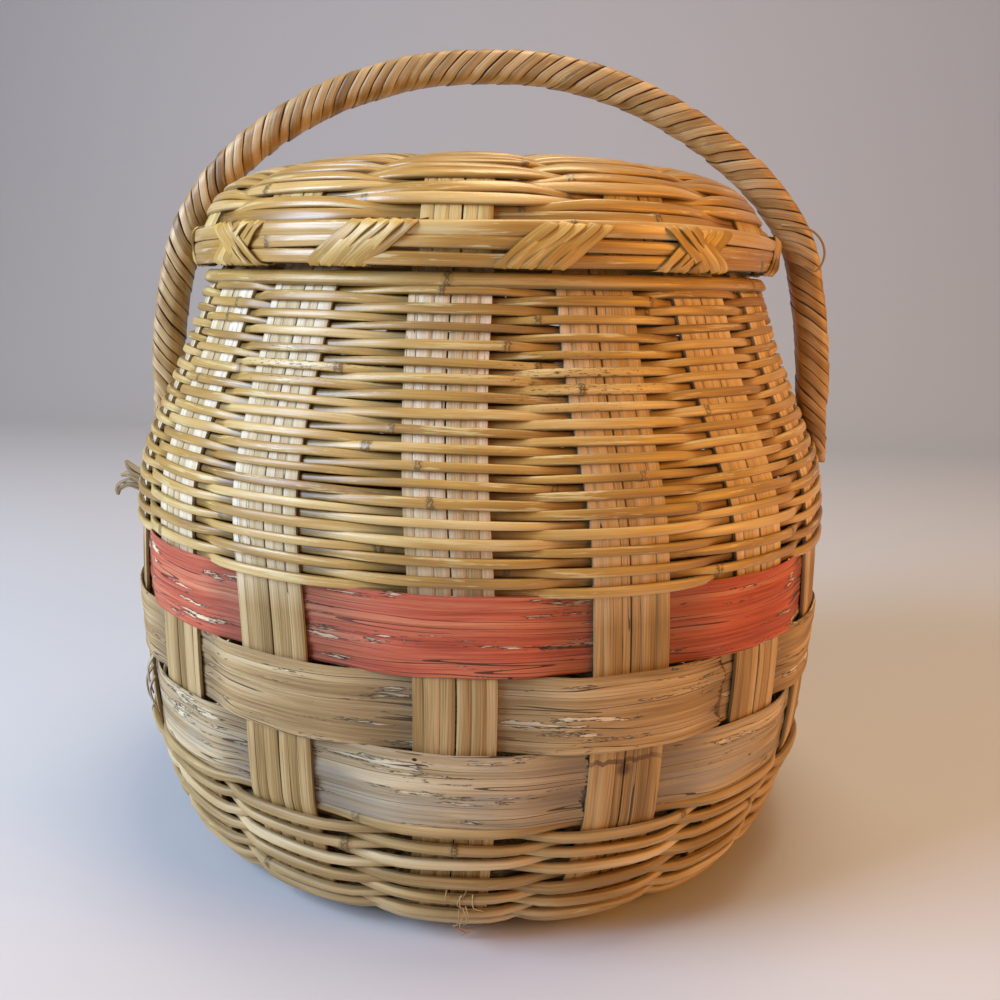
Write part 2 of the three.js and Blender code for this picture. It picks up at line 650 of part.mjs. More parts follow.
// Handle line from one foot over the top to the other, wide enough to clear the shoulder and the lid
const footHeight = HANDLE_ENTRY_HEIGHT + HANDLE_FOOT_RISE;
const archRise = rimBottom + LID_HEIGHT + HANDLE_HAND_GAP - footHeight;
function spanShare(z) {
  const share = (z - footHeight) / archRise;
  const above = HANDLE_SPAN_SHARES.findIndex((row) => row[1] >= share);
  const [x1, z1] = HANDLE_SPAN_SHARES[Math.max(above - 1, 0)];
  const [x2, z2] = HANDLE_SPAN_SHARES[above];
  return above === 0 ? x2 : x1 + ((x2 - x1) * (share - z1)) / (z2 - z1);
}
function spanPast(outline, reach) {
  const legHalf = CORE_THICKNESS / 2 + WRAP_CLEARANCE + WRAP_THICKNESS;
  const step = outline.length / SPAN_SAMPLES;
  const heights = Array.from({ length: SPAN_SAMPLES }, (_, i) => outline.point(step * i));
  const spans = heights
    .filter((at) => at.z >= footHeight)
    .map((at) => (at.x + reach + legHalf + HANDLE_LEG_GAP) / spanShare(at.z));
  return Math.max(...spans);
}
const handleHalfSpan = Math.max(
  spanPast(bodyOutline, HALF_SLAT + CLEARANCE + UPPER_ROD_DEPTH),
  spanPast(lidOutline, rimReach + RIM_ROD_DEPTH / 2 + CLEARANCE + LASH_THICKNESS),
);
const halfArch = HANDLE_SPAN_SHARES.map(([x, z]) => [x * handleHalfSpan, footHeight + z * archRise]);
const archPoints = [
  ...halfArch,
  ...halfArch.slice(0, -1).reverse().map(([x, z]) => [-x, z]),
].map(([x, z]) => new THREE.Vector3(x, 0, z));
const archCurve = new THREE.CatmullRomCurve3(archPoints, false, 'centripetal');
archCurve.arcLengthDivisions = 1200;
const archLength = archCurve.getLength();
function archAt(s) {
  const share = THREE.MathUtils.clamp(s / archLength, 0, 1);
  const tangent = archCurve.getTangentAt(share);
  return { at: archCurve.getPointAt(share), out: new THREE.Vector3(tangent.z, 0, -tangent.x) };
}

// Eight corners of the core's section, as inner-to-outer and sideways places
function coreRing(inner, outer, width) {
  const deep = outer.distanceTo(inner);
  const chamfer = Math.min(CORE_CHAMFER, deep / 4);
  const out = outer.clone().sub(inner).normalize();
  const corners = [
    [0, width / 2 - chamfer], [chamfer, width / 2], [deep - chamfer, width / 2], [deep, width / 2 - chamfer],
    [deep, chamfer - width / 2], [deep - chamfer, -width / 2], [chamfer, -width / 2], [0, chamfer - width / 2],
  ];
  return corners.map(([a, y]) => {
    const at = inner.clone().addScaledVector(out, a);
    at.y = y;
    return at;
  });
}

function footRings(stake) {
  const mirror = stake === 0 ? 1 : -1;
  const entry = entryAt(stake);
  const line = bodyWall.lines[stake];
  const onWall = (s, offset) => {
    const at = line.point(s).addScaledVector(line.normal(s), offset);
    at.x *= mirror;
    return at;
  };
  const tip = entry - TANG_LENGTH;
  const tang = (s, width) => coreRing(onWall(s, tangIn), onWall(s, tangIn + TANG_THICKNESS), width);
  const tangIn = HALF_SLAT + CLEARANCE;
  const clearOfRods = HALF_SLAT + CLEARANCE + UPPER_ROD_DEPTH + CLEARANCE;
  const slip = (2 * upperPitch - upperRod) / 2 - CLEARANCE;
  const foot = CORE_THICKNESS * CORE_FOOT_THICKNESS_SHARE;
  const bends = line.stations
    .map((s, i) => [s, line.points[i], line.joint(i)])
    .filter(([s]) => s > tip && s < entry - slip)
    .map(([, at, square]) => [tangIn, tangIn + TANG_THICKNESS].map((offset) => {
      const place = at.clone().addScaledVector(square, offset);
      place.x *= mirror;
      return place;
    }));
  return [
    tang(tip, TANG_WIDTH / 2),
    ...bends.map(([inner, outer]) => coreRing(inner, outer, TANG_WIDTH)),
    tang(entry - slip, TANG_WIDTH),
    coreRing(onWall(entry + slip, clearOfRods), onWall(entry + slip, clearOfRods + foot), CORE_WIDTH),
    coreRing(
      onWall(entry + TANG_LENGTH / 2, clearOfRods + CLEARANCE),
      onWall(entry + TANG_LENGTH / 2, clearOfRods + CORE_THICKNESS), CORE_WIDTH,
    ),
  ];
}

const coreStations = 34;
const coreRings = footRings(0);
for (let i = 0; i <= coreStations; i += 1) {
  const { at, out } = archAt((archLength * i) / coreStations);
  coreRings.push(coreRing(
    at.clone().addScaledVector(out, -CORE_THICKNESS / 2),
    at.clone().addScaledVector(out, CORE_THICKNESS / 2), CORE_WIDTH,
  ));
}
const farFoot = footRings(STAKE_COUNT / 2).reverse();
coreRings.push(...farFoot);
add(handle, 'handle_core', skin(coreRings, false), '#7a4a22', 0.6);

// One unbroken strip bundle wound round the core
const wrapPitch = (archLength - 2 * WRAP_END_MARGIN) / WRAP_LOOPS;
const wrapWidth = wrapPitch - WRAP_LOOP_GAP;
const wrapRings = [];
const wrapPad = WRAP_CLEARANCE;
const aroundCore = (pad) => {
  const half = CORE_WIDTH / 2 + pad;
  const deep = CORE_THICKNESS / 2 + pad;
  const cut = CORE_CHAMFER;
  return [
    [deep, half - cut], [deep, cut - half], [deep - cut, -half], [cut - deep, -half],
    [-deep, cut - half], [-deep, half - cut], [cut - deep, half], [deep - cut, half],
  ];
};
const wrapInner = aroundCore(wrapPad);
const wrapOuter = aroundCore(wrapPad + WRAP_THICKNESS);
const firstWrap = WRAP_END_MARGIN + wrapWidth / 2;
const wrapTravel = archLength - 2 * WRAP_END_MARGIN - wrapWidth;
const wrapCount = WRAP_LOOPS * WRAP_STEPS;
for (let k = 0; k <= wrapCount; k += 1) {
  const s = firstWrap + (wrapTravel * k) / wrapCount;
  const place = ([deep, y], shift) => {
    const { at, out } = archAt(s + shift);
    at.addScaledVector(out, deep);
    at.y = y;
    return at;
  };
  const low = wrapInner[k % WRAP_STEPS];
  const high = wrapOuter[k % WRAP_STEPS];
  const half = (wrapWidth * WRAP_LOOPS) / (WRAP_LOOPS + 1) / 2;
  wrapRings.push([
    place(low, -half), place(low, 0), place(low, half), place(high, half), place(high, -half),
  ]);
}
add(handle, 'handle_wrap', skin(wrapRings, false), '#c8a25a', 0.45);

console.log(`handle winding: ${WRAP_LOOPS} turns, least gap to itself ${leastGap(wrapRings, WRAP_STEPS)} mm`);

export default basket;
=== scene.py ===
import math

import bmesh
import bpy
import numpy as np
from mathutils import Matrix, Vector


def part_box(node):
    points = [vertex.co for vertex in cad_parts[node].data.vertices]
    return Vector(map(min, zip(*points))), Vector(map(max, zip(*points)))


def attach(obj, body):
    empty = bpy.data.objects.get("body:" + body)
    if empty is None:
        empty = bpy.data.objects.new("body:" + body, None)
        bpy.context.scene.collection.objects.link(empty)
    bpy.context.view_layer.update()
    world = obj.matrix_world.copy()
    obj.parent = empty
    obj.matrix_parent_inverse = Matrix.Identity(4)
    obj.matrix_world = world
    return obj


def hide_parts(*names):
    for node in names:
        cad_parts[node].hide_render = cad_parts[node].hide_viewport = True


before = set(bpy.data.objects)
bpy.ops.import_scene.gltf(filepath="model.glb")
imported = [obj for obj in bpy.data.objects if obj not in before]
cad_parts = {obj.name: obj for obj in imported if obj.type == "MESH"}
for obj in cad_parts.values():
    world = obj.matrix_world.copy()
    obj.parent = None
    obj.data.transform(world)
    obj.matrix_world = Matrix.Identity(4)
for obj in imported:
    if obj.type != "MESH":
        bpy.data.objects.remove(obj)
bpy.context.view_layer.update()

# Sizes of the basket, in millimetres, as its solids have them
MM = 0.001
STAKES, LID_STAKES = 16, 12
BELLY_RADIUS = 178.5
BODY_HEIGHT = 291.0
SLAT = 2.0
CLEAR = 0.3
SLAT_WIDTHS = 26.0, 33.0
PLAIT_PITCH = 34.0
LOWER_ROWS, LOWER_DEPTH, LOWER_START = 22, 4.2, 5.0
BAND_BOTTOM, BAND_WIDTH, BAND_GAP, BAND_THICK = 66.5, 31.6, 1.0, 1.2
UPPER_ROWS, UPPER_DEPTH, UPPER_GAP = 34, 2.4, 0.6
SEAT_DROP, SEAT_WIDTH, SEAT_DEPTH = 9.8, 4.4, 5.5
MOUTH_WIDTH, MOUTH_DEPTH, MOUTH_DROP = 3.2, 2.4, 2.2
LID_OVERHANG, LID_HEIGHT = 11.5, 48.0
LID_WIDTHS = 22.0, 28.0
LID_PITCH = 28.0
LID_ROWS, LID_DEPTH, LID_START = 14, 2.4, 4.0
RIM_RODS, RIM_HEIGHT, RIM_DEPTH = 3, 5.0, 3.0
RIM_INNER_WIDTH, RIM_INNER_DEPTH = 11.0, 1.6
LASH_LOOPS, LASH_THICK, LASH_RIM_GAP = 5, 1.1, 1.6
HANDLE_FOOT = 236.0
CORE_WIDTH, CORE_THICK = 17.0, 12.4
HANDLE_ENTRY, TANG_LENGTH = 205.0, 26.0

# Outlines: each radius as a share of the widest, each height as a share of the whole rise
BODY_SHARES = [
    (0.751, 0), (0.818, 0.0053), (0.871, 0.026), (0.905, 0.0588), (0.925, 0.0958), (0.941, 0.1344),
    (0.958, 0.168), (0.979, 0.203), (0.988, 0.248), (0.996, 0.324), (1, 0.4), (0.999, 0.467),
    (0.995, 0.543), (0.988, 0.611), (0.975, 0.66), (0.946, 0.712), (0.909, 0.764), (0.874, 0.813),
    (0.842, 0.86), (0.814, 0.908), (0.789, 0.951), (0.769, 0.97), (0.753, 0.984), (0.743, 1)]
LID_SHARES = [
    (0.458, 0.994), (0.56, 0.972), (0.669, 0.93), (0.779, 0.868), (0.866, 0.787), (0.926, 0.686),
    (0.957, 0.582), (0.976, 0.482), (0.99, 0.4), (1, 0.32), (1, 0.2), (1, 0.1), (1, 0)]
ARCH_SHARES = [
    (1, 0), (0.994, 0.104), (0.98, 0.208), (0.961, 0.306), (0.939, 0.404), (0.913, 0.476),
    (0.872, 0.554), (0.817, 0.635), (0.748, 0.71), (0.661, 0.785), (0.568, 0.847),
    (0.458, 0.906), (0.336, 0.951), (0.209, 0.984), (0.0985, 0.997), (0, 1)]

# How far each stake, from the left side of the handle round the front, has slipped sideways, in degrees
SLIP_AT_BELLY = [0, 1.6, 1.3, -0.4, 2.2, 2.8, 3.3, 1.9, 0, -1.4, 0.8, 2.1, -0.6, -1.9, 1.2, -0.9, 0]
SLIP_AT_NECK = [0, -1.2, -2.6, -5.4, -0.9, 0.8, 0.4, 0.2, 0, 1.2, 2.0, -0.8, -2.4, 0.6, 1.8, 0.4, 0]
# Shares of the wall's length: where the belly's slip is whole, and where it starts to turn into the neck's
SLIP_WHOLE, SLIP_TURNS = 0.3, 0.45
# Half a stake, as a share of the space from one stake to the next: it slips as one, and hides the canes' ends
HALF_STAKE = 0.34

# The lid's shoulder is pressed in under both sides of the handle: height, and the share of the whole press
PRESSED_HEIGHTS = [301, 306, 312, 318], [0, 0.35, 0.8, 1]
PRESS, PRESS_MORE_AT_RIGHT = 5.0, 1.4
PRESS_SPREAD = 0.3
PRESS_INNER_RADIUS, PRESS_FADE = 85, 27


def smooth_line(points, per=40):
    """A smooth line through points, and the length along it at each place."""
    p = np.array(points, float)
    p = np.vstack([2 * p[0] - p[1], p, 2 * p[-1] - p[-2]])
    made = []
    for a, b, c, d in zip(p, p[1:], p[2:], p[3:]):
        t0, t1, t2 = (max(np.linalg.norm(y - x) ** 0.5, 1e-6) for x, y in ((a, b), (b, c), (c, d)))
        m1 = ((b - a) / t0 - (c - a) / (t0 + t1) + (c - b) / t1) * t1
        m2 = ((c - b) / t1 - (d - b) / (t1 + t2) + (d - c) / t2) * t1
        t = np.linspace(0, 1, per, endpoint=False)[:, None]
        made.append(b * (2 * t**3 - 3 * t**2 + 1) + m1 * (t**3 - 2 * t**2 + t)
                    + c * (3 * t**2 - 2 * t**3) + m2 * (t**3 - t**2))
    line = np.vstack([*made, p[-2:-1]])
    return line, lengths_along(line)


def lengths_along(line):
    """How far along a line of points each of them is."""
    return np.concatenate([[0], np.cumsum(np.linalg.norm(np.diff(line, axis=0), axis=1))])


class Wall:
    """A round woven wall, read by angle, length up the wall and height off its surface."""

    def __init__(self, points, outward, stakes, slips=False):
        self.stakes, self.step, self.slips = stakes, 2 * math.pi / stakes, slips
        self.line, self.length = smooth_line(points)
        slope = np.gradient(self.line, self.length, axis=0)
        slope /= np.linalg.norm(slope, axis=1)[:, None]
        self.out = np.c_[slope[:, 1], -slope[:, 0]] * outward
        self.end = self.length[-1]
        self.rises = np.sign(self.line[-1, 1] - self.line[0, 1])

    def read(self, table, s):
        return np.interp(s, self.length, table)

    def radius(self, s):
        return self.read(self.line[:, 0], s)

    def length_at(self, height, start=0.0):
        keep = self.length >= start
        return float(np.interp(height * self.rises, self.line[keep, 1] * self.rises, self.length[keep]))

    def slip(self, angle, s):
        """How far round the stake at an angle has slipped, in radians."""
        at = np.mod(angle + math.pi, 2 * math.pi) / self.step
        low = np.clip(s / (SLIP_WHOLE * self.end), 0, 1)
        up = np.clip((s - SLIP_TURNS * self.end) / (SLIP_TURNS * self.end), 0, 1)
        up = up * up * (3 - 2 * up)
        sides = np.repeat(np.arange(STAKES + 1), 2) + np.tile([-HALF_STAKE, HALF_STAKE], STAKES + 1)
        belly, neck = (np.interp(at, sides, np.repeat(slips, 2)) for slips in (SLIP_AT_BELLY, SLIP_AT_NECK))
        return np.radians(belly * low * (1 - up) + neck * up)

    def press(self, angle, s):
        """How far in the lid's shoulder is pressed under the handle."""
        share = np.interp(self.read(self.line[:, 1], s), *PRESSED_HEIGHTS)
        share = share * np.clip((self.radius(s) - PRESS_INNER_RADIUS) / PRESS_FADE, 0, 1)
        deep = PRESS + PRESS_MORE_AT_RIGHT * np.cos(angle)
        return deep * share / (1 + (np.abs(np.sin(angle)) / PRESS_SPREAD) ** 4)

    def place(self, angle, s, off):
        angle, s, off = np.broadcast_arrays(angle, s, off)
        if self.slips:
            angle = angle + self.slip(angle, s)
        else:
            off = off - self.press(angle, s)
        r = self.radius(s) + off * self.read(self.out[:, 0], s)
        z = self.read(self.line[:, 1], s) + off * self.read(self.out[:, 1], s)
        z = z + np.clip(s - self.end, 0, None) * self.rises
        return np.stack([r * np.cos(angle), r * np.sin(angle), z], -1)


# The body: four slats each way under the base, then the wall, with its zones by their length up the wall
base_level = SLAT / 2 + CLEAR + LOWER_DEPTH
plait_edge = 1.5 * PLAIT_PITCH + SLAT_WIDTHS[0] / 2
plait_turn = PLAIT_PITCH - SLAT_WIDTHS[0]
splay = (plait_edge + plait_turn) / math.cos(1.5 * 2 * math.pi / STAKES) + PLAIT_PITCH / 2 + SLAT / 2
rise = BODY_HEIGHT - base_level
profile = [(r * BELLY_RADIUS, base_level + z * rise) for r, z in BODY_SHARES]
foot_radius = profile[0][0]
flat_end = foot_radius - SLAT
profile = [(splay, base_level), ((splay + flat_end) / 2, base_level), (flat_end, base_level), *profile]
body = Wall(profile, 1, STAKES, slips=True)
wall_start = body.end / 4
band_at = body.length_at(BAND_BOTTOM, wall_start)
band_pitch = BAND_WIDTH + BAND_GAP
upper_start = band_at + 3 * band_pitch
seat_at = body.length_at(BODY_HEIGHT - SEAT_DROP, wall_start)
mouth_at = body.end - MOUTH_DROP
upper_pitch = (seat_at - SEAT_WIDTH / 2 - UPPER_GAP - upper_start) / (UPPER_ROWS + 1)
lower_pitch = (band_at - BAND_GAP - LOWER_START) / (LOWER_ROWS + 1)
upper_first = upper_start + upper_pitch / 2
lower_first = LOWER_START + lower_pitch / 2
entry_at = body.length_at(HANDLE_ENTRY, wall_start)

# The lid, read from its top down to its rim
lid_radius = BODY_SHARES[-1][0] * BELLY_RADIUS + LID_OVERHANG
rim_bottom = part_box("rim_rod_1")[0].z / MM
rim_top = rim_bottom + RIM_RODS * (RIM_HEIGHT + CLEAR) - CLEAR
lid = Wall([(r * lid_radius, rim_bottom + z * LID_HEIGHT) for r, z in LID_SHARES], -1, LID_STAKES)
lid_weave_end = lid.length_at(rim_top + CLEAR + LASH_THICK + LASH_RIM_GAP)
lid_pitch = (lid_weave_end - LID_START) / (LID_ROWS + 1)
lid_first = LID_START + lid_pitch / 2
lid_plait_level = rim_bottom + LID_SHARES[0][1] * LID_HEIGHT


def drift(angle, key, waves=(1, 2, 3, 5, 8)):
    """A slow wander between about -1 and 1 along the turns, the same each time."""
    angle = np.asarray(angle, float)
    total = np.zeros_like(angle)
    for n, w in enumerate(waves):
        phase = math.sin(key * 12.9898 + n * 78.233) * 437.585
        total = total + np.sin(w * angle + phase) / (1 + 0.5 * n)
    return total / 2


def luck(*key):
    """Random draws that come out the same each time."""
    return np.random.default_rng([abs(int(k * 1000)) for k in key])


def bell(x, width):
    return np.exp(-((x / width) ** 2))


# Cross sections as (across, off the surface), each one unit wide and one unit deep
SPLIT_ROD = [(-0.5, -0.3), (-0.49, 0.14), (-0.43, 0.37), (-0.28, 0.46), (0.02, 0.5), (0.3, 0.46),
             (0.44, 0.34), (0.5, 0.08), (0.5, -0.3), (0.4, -0.5), (-0.4, -0.5)]
ROUND_ROD = [(0.5 * math.cos(-a * math.pi / 6), 0.5 * math.sin(-a * math.pi / 6)) for a in range(12)]
FLAT_STRIP = [(-0.5, -0.2), (-0.49, 0.26), (-0.42, 0.45), (-0.14, 0.5), (0.14, 0.5), (0.42, 0.45),
              (0.49, 0.26), (0.5, -0.2), (0.42, -0.5), (-0.42, -0.5)]
SPLINT = [(-0.5, -0.3), (-0.5, 0.4), (-0.475, 0.47), (-0.2, 0.5), (0.2, 0.5), (0.475, 0.47),
          (0.5, 0.4), (0.5, -0.3), (0.44, -0.5), (-0.44, -0.5)]
# The outer tenth of a section's half width counts as its edge
EDGE_FROM, EDGE_SPAN = 0.9, 0.1

# What each place of a rod tells its material: its own tone, how near a joint it is, how far it is tucked
# in behind a stake, and whether it is on the edge of the section
MARKS = "tone", "joint", "tuck", "edge"
WELD = 2e-6


def round_lengths(section, wide, deep):
    """How far round a section each of its corners is."""
    return lengths_along(np.array(section) * [wide, deep])


def edge_of(section):
    """One at both sides of a section and nothing on its face."""
    return np.clip((np.abs(np.array(section)[:, 0]) * 2 - EDGE_FROM) / EDGE_SPAN, 0, 1)


class Piece:
    """One named piece made of rods or strips, each a grid rolled round its section."""

    def __init__(self, name):
        self.name = name
        self.form = bmesh.new()
        self.co, self.uv, self.marks = [], [], []

    def roll(self, points, along, around, tone=0.0, joint=0.0, tuck=0.0, edge=0.0):
        """Adds a closed rod through points[ring, place round the section], in millimetres."""
        rings, places = points.shape[:2]
        points = np.concatenate([points, points[:, :1]], 1)
        bmesh.ops.create_grid(self.form, x_segments=places, y_segments=rings - 1, size=1)
        shape = (rings, places + 1)
        self.co.append(points.reshape(-1, 3) * MM)
        u = np.broadcast_to(np.asarray(along, float)[:, None], shape)
        v = np.broadcast_to(np.append(around, 2 * around[-1] - around[-2]), shape)
        self.uv.append(np.stack([u, v], -1).reshape(-1, 2) * MM)
        marks = [np.broadcast_to(np.asarray(m, float).reshape(-1, 1), shape) for m in (tone, joint, tuck)]
        edge = np.broadcast_to(np.asarray(edge, float), places)
        marks.append(np.broadcast_to(np.append(edge, edge[0]), shape))
        self.marks.append(np.stack(marks, -1).reshape(-1, 4))

    def finish(self, rides_on, slot, material, replaces=(), crease=40):
        """Closes the rods and their ends, and puts the piece on its body in place of its solids."""
        mesh = bpy.data.meshes.new(self.name)
        self.form.to_mesh(mesh)
        self.form.free()
        co, uv, marks = (np.concatenate(x).astype(np.float32) for x in (self.co, self.uv, self.marks))
        mesh.vertices.foreach_set("co", co.ravel())
        corner = np.empty(len(mesh.loops), np.int32)
        mesh.loops.foreach_get("vertex_index", corner)
        mesh.uv_layers.new(name="lay").uv.foreach_set("vector", uv[corner].ravel())
        for n, mark in enumerate(MARKS):
            mesh.attributes.new(mark, "FLOAT", "POINT").data.foreach_set("value", marks[:, n].copy())
        form = bmesh.new()
        form.from_mesh(mesh)
        bmesh.ops.remove_doubles(form, verts=form.verts, dist=WELD)
        bmesh.ops.holes_fill(form, edges=[e for e in form.edges if e.is_boundary], sides=0)
        bmesh.ops.recalc_face_normals(form, faces=form.faces)
        form.to_mesh(mesh)
        form.free()
        mesh.shade_smooth()
        if crease:
            mesh.set_sharp_from_angle(angle=math.radians(crease))
        mesh.materials.append(material)
        piece = bpy.data.objects.new(self.name, mesh)
        bpy.context.scene.collection.objects.link(piece)
        if replaces:
            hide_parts(*replaces)
        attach(piece, rides_on)


def on_wall(piece, wall, angle, s, off, section, high, deep, tone, joint, tuck, turn, start):
    """A rod laid round a wall: its section stands square to the wall at each place."""
    a, b = np.array(section).T
    high, deep, turn = (np.broadcast_to(np.asarray(x, float), angle.shape)[:, None]
                        for x in (high, deep, turn))
    up, out = a * high, b * deep
    up, out = up * np.cos(turn) - out * np.sin(turn), up * np.sin(turn) + out * np.cos(turn)
    points = wall.place(angle[:, None], s[:, None] + up, off[:, None] + out)
    along = start + lengths_along(wall.place(angle, s, off))
    around = round_lengths(section, float(high.mean()), float(deep.mean()))
    piece.roll(points, along, around, tone, joint, tuck, edge_of(section))


def sweep(piece, at, out, section, wide, deep, tone=0.0, tuck=0.0, start=0.0):
    """A strip carried along a free line, its face square to the directions given in out."""
    at, out = np.asarray(at, float), np.asarray(out, float)
    ahead = np.gradient(at, axis=0)
    ahead /= np.linalg.norm(ahead, axis=1)[:, None]
    out = out - (out * ahead).sum(1)[:, None] * ahead
    out /= np.linalg.norm(out, axis=1)[:, None]
    side = np.cross(ahead, out)
    a, b = np.array(section).T
    wide, deep = (np.broadcast_to(np.asarray(x, float), len(at))[:, None, None] for x in (wide, deep))
    points = at[:, None] + a[None, :, None] * wide * side[:, None] + b[None, :, None] * deep * out[:, None]
    around = round_lengths(section, float(wide.mean()), float(deep.mean()))
    piece.roll(points, start + lengths_along(at), around, tone, 0.0, tuck, edge_of(section))


# A climbing weave is pressed flat against what bounds it: the share of half a turn over which a row
# sinks to its neighbour, the rows' reach in millimetres over which this fades, and the last gap closed
SINKS, PRESSED_OVER, LAST_GAP = 0.88, 22, 0.9


def snug(angle, s, low, high, pitch):
    """Rows of a climbing weave pressed against what bounds it below and above."""
    half_turn = np.mod(angle, math.pi) / math.pi
    below = np.minimum(half_turn / SINKS, (1 - half_turn) / (1 - SINKS))
    above = np.minimum((1 - half_turn) / SINKS, half_turn / (1 - SINKS))
    under, over = np.exp(-(s - low) / PRESSED_OVER), np.exp(-(high - s) / PRESSED_OVER)
    return s - pitch * below * under - LAST_GAP * under**2 + pitch * above * over + LAST_GAP * over**2


# A cane passes 8 to 14 stakes, and the last one of a weave is not left with fewer than 5
CANE_PAIRS, LAST_CANE, SHORTEST_CANE = (4, 8), 8, 5
# Joints of a cane: the room left at its ends, the spacing, and the rings that draw each one's swelling
JOINT_MARGINS, JOINT_SPACING, JOINT_WIDTH = (20, 15), (170, 420), 2.0
JOINT_RINGS = -6, -3, -1.6, -0.6, 0, 0.6, 1.6, 3, 6
RINGS_PER_STAKE, FINEST_RING = 9, 0.2


def weave(piece, wall, first, turns, start, climb, between, reach, high, deep, section, wander, key, radius,
          squeeze, lift=None, fan=0.0):
    """Canes laid end to end up a wall, over one stake and under the next, each tucked in behind a stake."""
    steps = turns * wall.stakes
    over = 0 if first == 0 else 1
    pace = radius * wall.step
    dice = luck(key, 3)
    cuts = [0.0]
    while cuts[-1] < steps - LAST_CANE:
        to_behind = 1 - over if len(cuts) == 1 else 0
        cuts.append(cuts[-1] + 2 * int(dice.integers(*CANE_PAIRS)) + to_behind)
    cuts = [c for c in cuts if c < steps - SHORTEST_CANE] + [float(steps)]
    for begins, ends in zip(cuts, cuts[1:]):
        low, top = max(begins - HALF_STAKE, 0), min(ends + HALF_STAKE, steps)
        joints = []
        at = dice.uniform(JOINT_MARGINS[0], JOINT_SPACING[0])
        while at < (top - low) * pace - JOINT_MARGINS[1]:
            joints.append(low + at / pace)
            at += dice.uniform(*JOINT_SPACING)
        fine = [joint + ring_at / pace for joint in joints for ring_at in JOINT_RINGS]
        even = np.linspace(low, top, int((top - low) * RINGS_PER_STAKE) + 2)
        k = np.unique(np.concatenate([even, fine]))
        k = k[(k >= low) & (k <= top)]
        k = k[np.concatenate([[True], np.diff(k) > FINEST_RING / pace])]
        wave = np.tanh(2.0 * np.cos(math.pi * (k + over))) / math.tanh(2.0)
        angle = (first + k) * wall.step
        own = dice.uniform(0, 50)
        s = snug(angle, start + climb * k / wall.stakes, *between, climb / 2)
        free = np.clip(np.minimum(s - between[0], between[1] - s) / 12, 0, 1)
        s = s + wander * free * (0.6 * drift(angle, key) + 0.5 * drift(angle, own, (3, 7, 11, 15)))
        s = s + fan * np.clip(wave, 0, 1)
        size = dice.uniform(0.87, 1.13) * (1 + 0.05 * drift(angle, own + 3, (3, 5, 9)))
        knot = sum((bell((k - joint) * pace, JOINT_WIDTH) for joint in joints), np.zeros_like(k))
        pared = np.clip(np.minimum(k - low, top - k) / 0.3, 0.25, 1)
        height = high * size * (squeeze + (1 - squeeze) * np.abs(wave)) * (1 + 0.15 * knot) * pared**0.5
        depth = deep * (1 + 0.16 * knot) * pared
        off = reach * wave + 0.15 * drift(angle, own + 9, (5, 9, 13)) - 0.9 * (1 - pared)
        if lift is not None:
            off = off + lift(angle, s) * (wave > 0)
        lean = 0.10 * drift(angle, own + 5, (2, 3, 6)) + 0.10 * np.sin(math.pi * (k + over))
        # The tuck share darkens the cane as painted shade where it goes in behind a stake
        on_wall(piece, wall, angle, s, off, section, height, depth, dice.uniform(-1, 1), knot,
                np.clip(-1.5 * wave - 0.35, 0, 1), lean, dice.uniform(0, 4000))


RING_SAMPLES, RING_JOINT_SPACING, RING_JOINT_WIDTH = 300, (1.1, 1.7), 2.2


def ring(piece, wall, s, off, section, high, deep, key, wander, turns, start, wobble=0.3):
    """A rod bent once round, its two ends overlapping."""
    dice = luck(key, 7)
    angle = start + np.linspace(0, 2 * math.pi * turns, RING_SAMPLES)
    pace = float(wall.radius(s))
    first = start + dice.uniform(0, 0.5)
    joints = first + np.arange(0, 2 * math.pi * turns, dice.uniform(*RING_JOINT_SPACING))
    knot = sum((bell((angle - joint) * pace, RING_JOINT_WIDTH) for joint in joints), np.zeros_like(angle))
    s = s + wander * drift(angle, key, (2, 3, 5))
    off = off + wobble * drift(angle, key + 2, (3, 5, 7))
    height = high * (1 + 0.06 * drift(angle, key + 4, (3, 4, 7)) + 0.08 * knot)
    on_wall(piece, wall, angle, s, off, section, height, deep * (1 + 0.12 * knot), dice.uniform(-1, 1), knot,
            0.15, 0.0, dice.uniform(0, 900))


def linear(code):
    """An sRGB hex colour as the linear values that a shader takes."""
    parts = [int(code[i:i + 2], 16) / 255 for i in (1, 3, 5)]
    return (*(c / 12.92 if c <= 0.04045 else ((c + 0.055) / 1.055) ** 2.4 for c in parts), 1)


def node(tree, kind, inputs=None, stops=None, **settings):
    """Adds a node with its settings, its values and its links."""
    made = tree.nodes.new(kind)
    for name, value in settings.items():
        setattr(made, name, value)
    if stops:
        ramp = made.color_ramp
        while len(ramp.elements) < len(stops):
            ramp.elements.new(0.5)
        for element, (place, colour) in zip(ramp.elements, stops):
            element.position = place
            element.color = linear(colour) if isinstance(colour, str) else (colour, colour, colour, 1)
    for name, value in (inputs or {}).items():
        if isinstance(value, bpy.types.NodeSocket):
            tree.links.new(value, made.inputs[name])
        else:
            made.inputs[name].default_value = value
    return made


def fresh_material(name):
    """A new material and its empty node tree."""
    material = bpy.data.materials.new(name)
    material.use_nodes = True
    material.node_tree.nodes.clear()
    return material, material.node_tree


def repeats(long, wide):
    """How often a streak of this size in millimetres repeats in a metre, along the fibre and across it."""
    return 1 / (long * MM), 1 / (wide * MM)


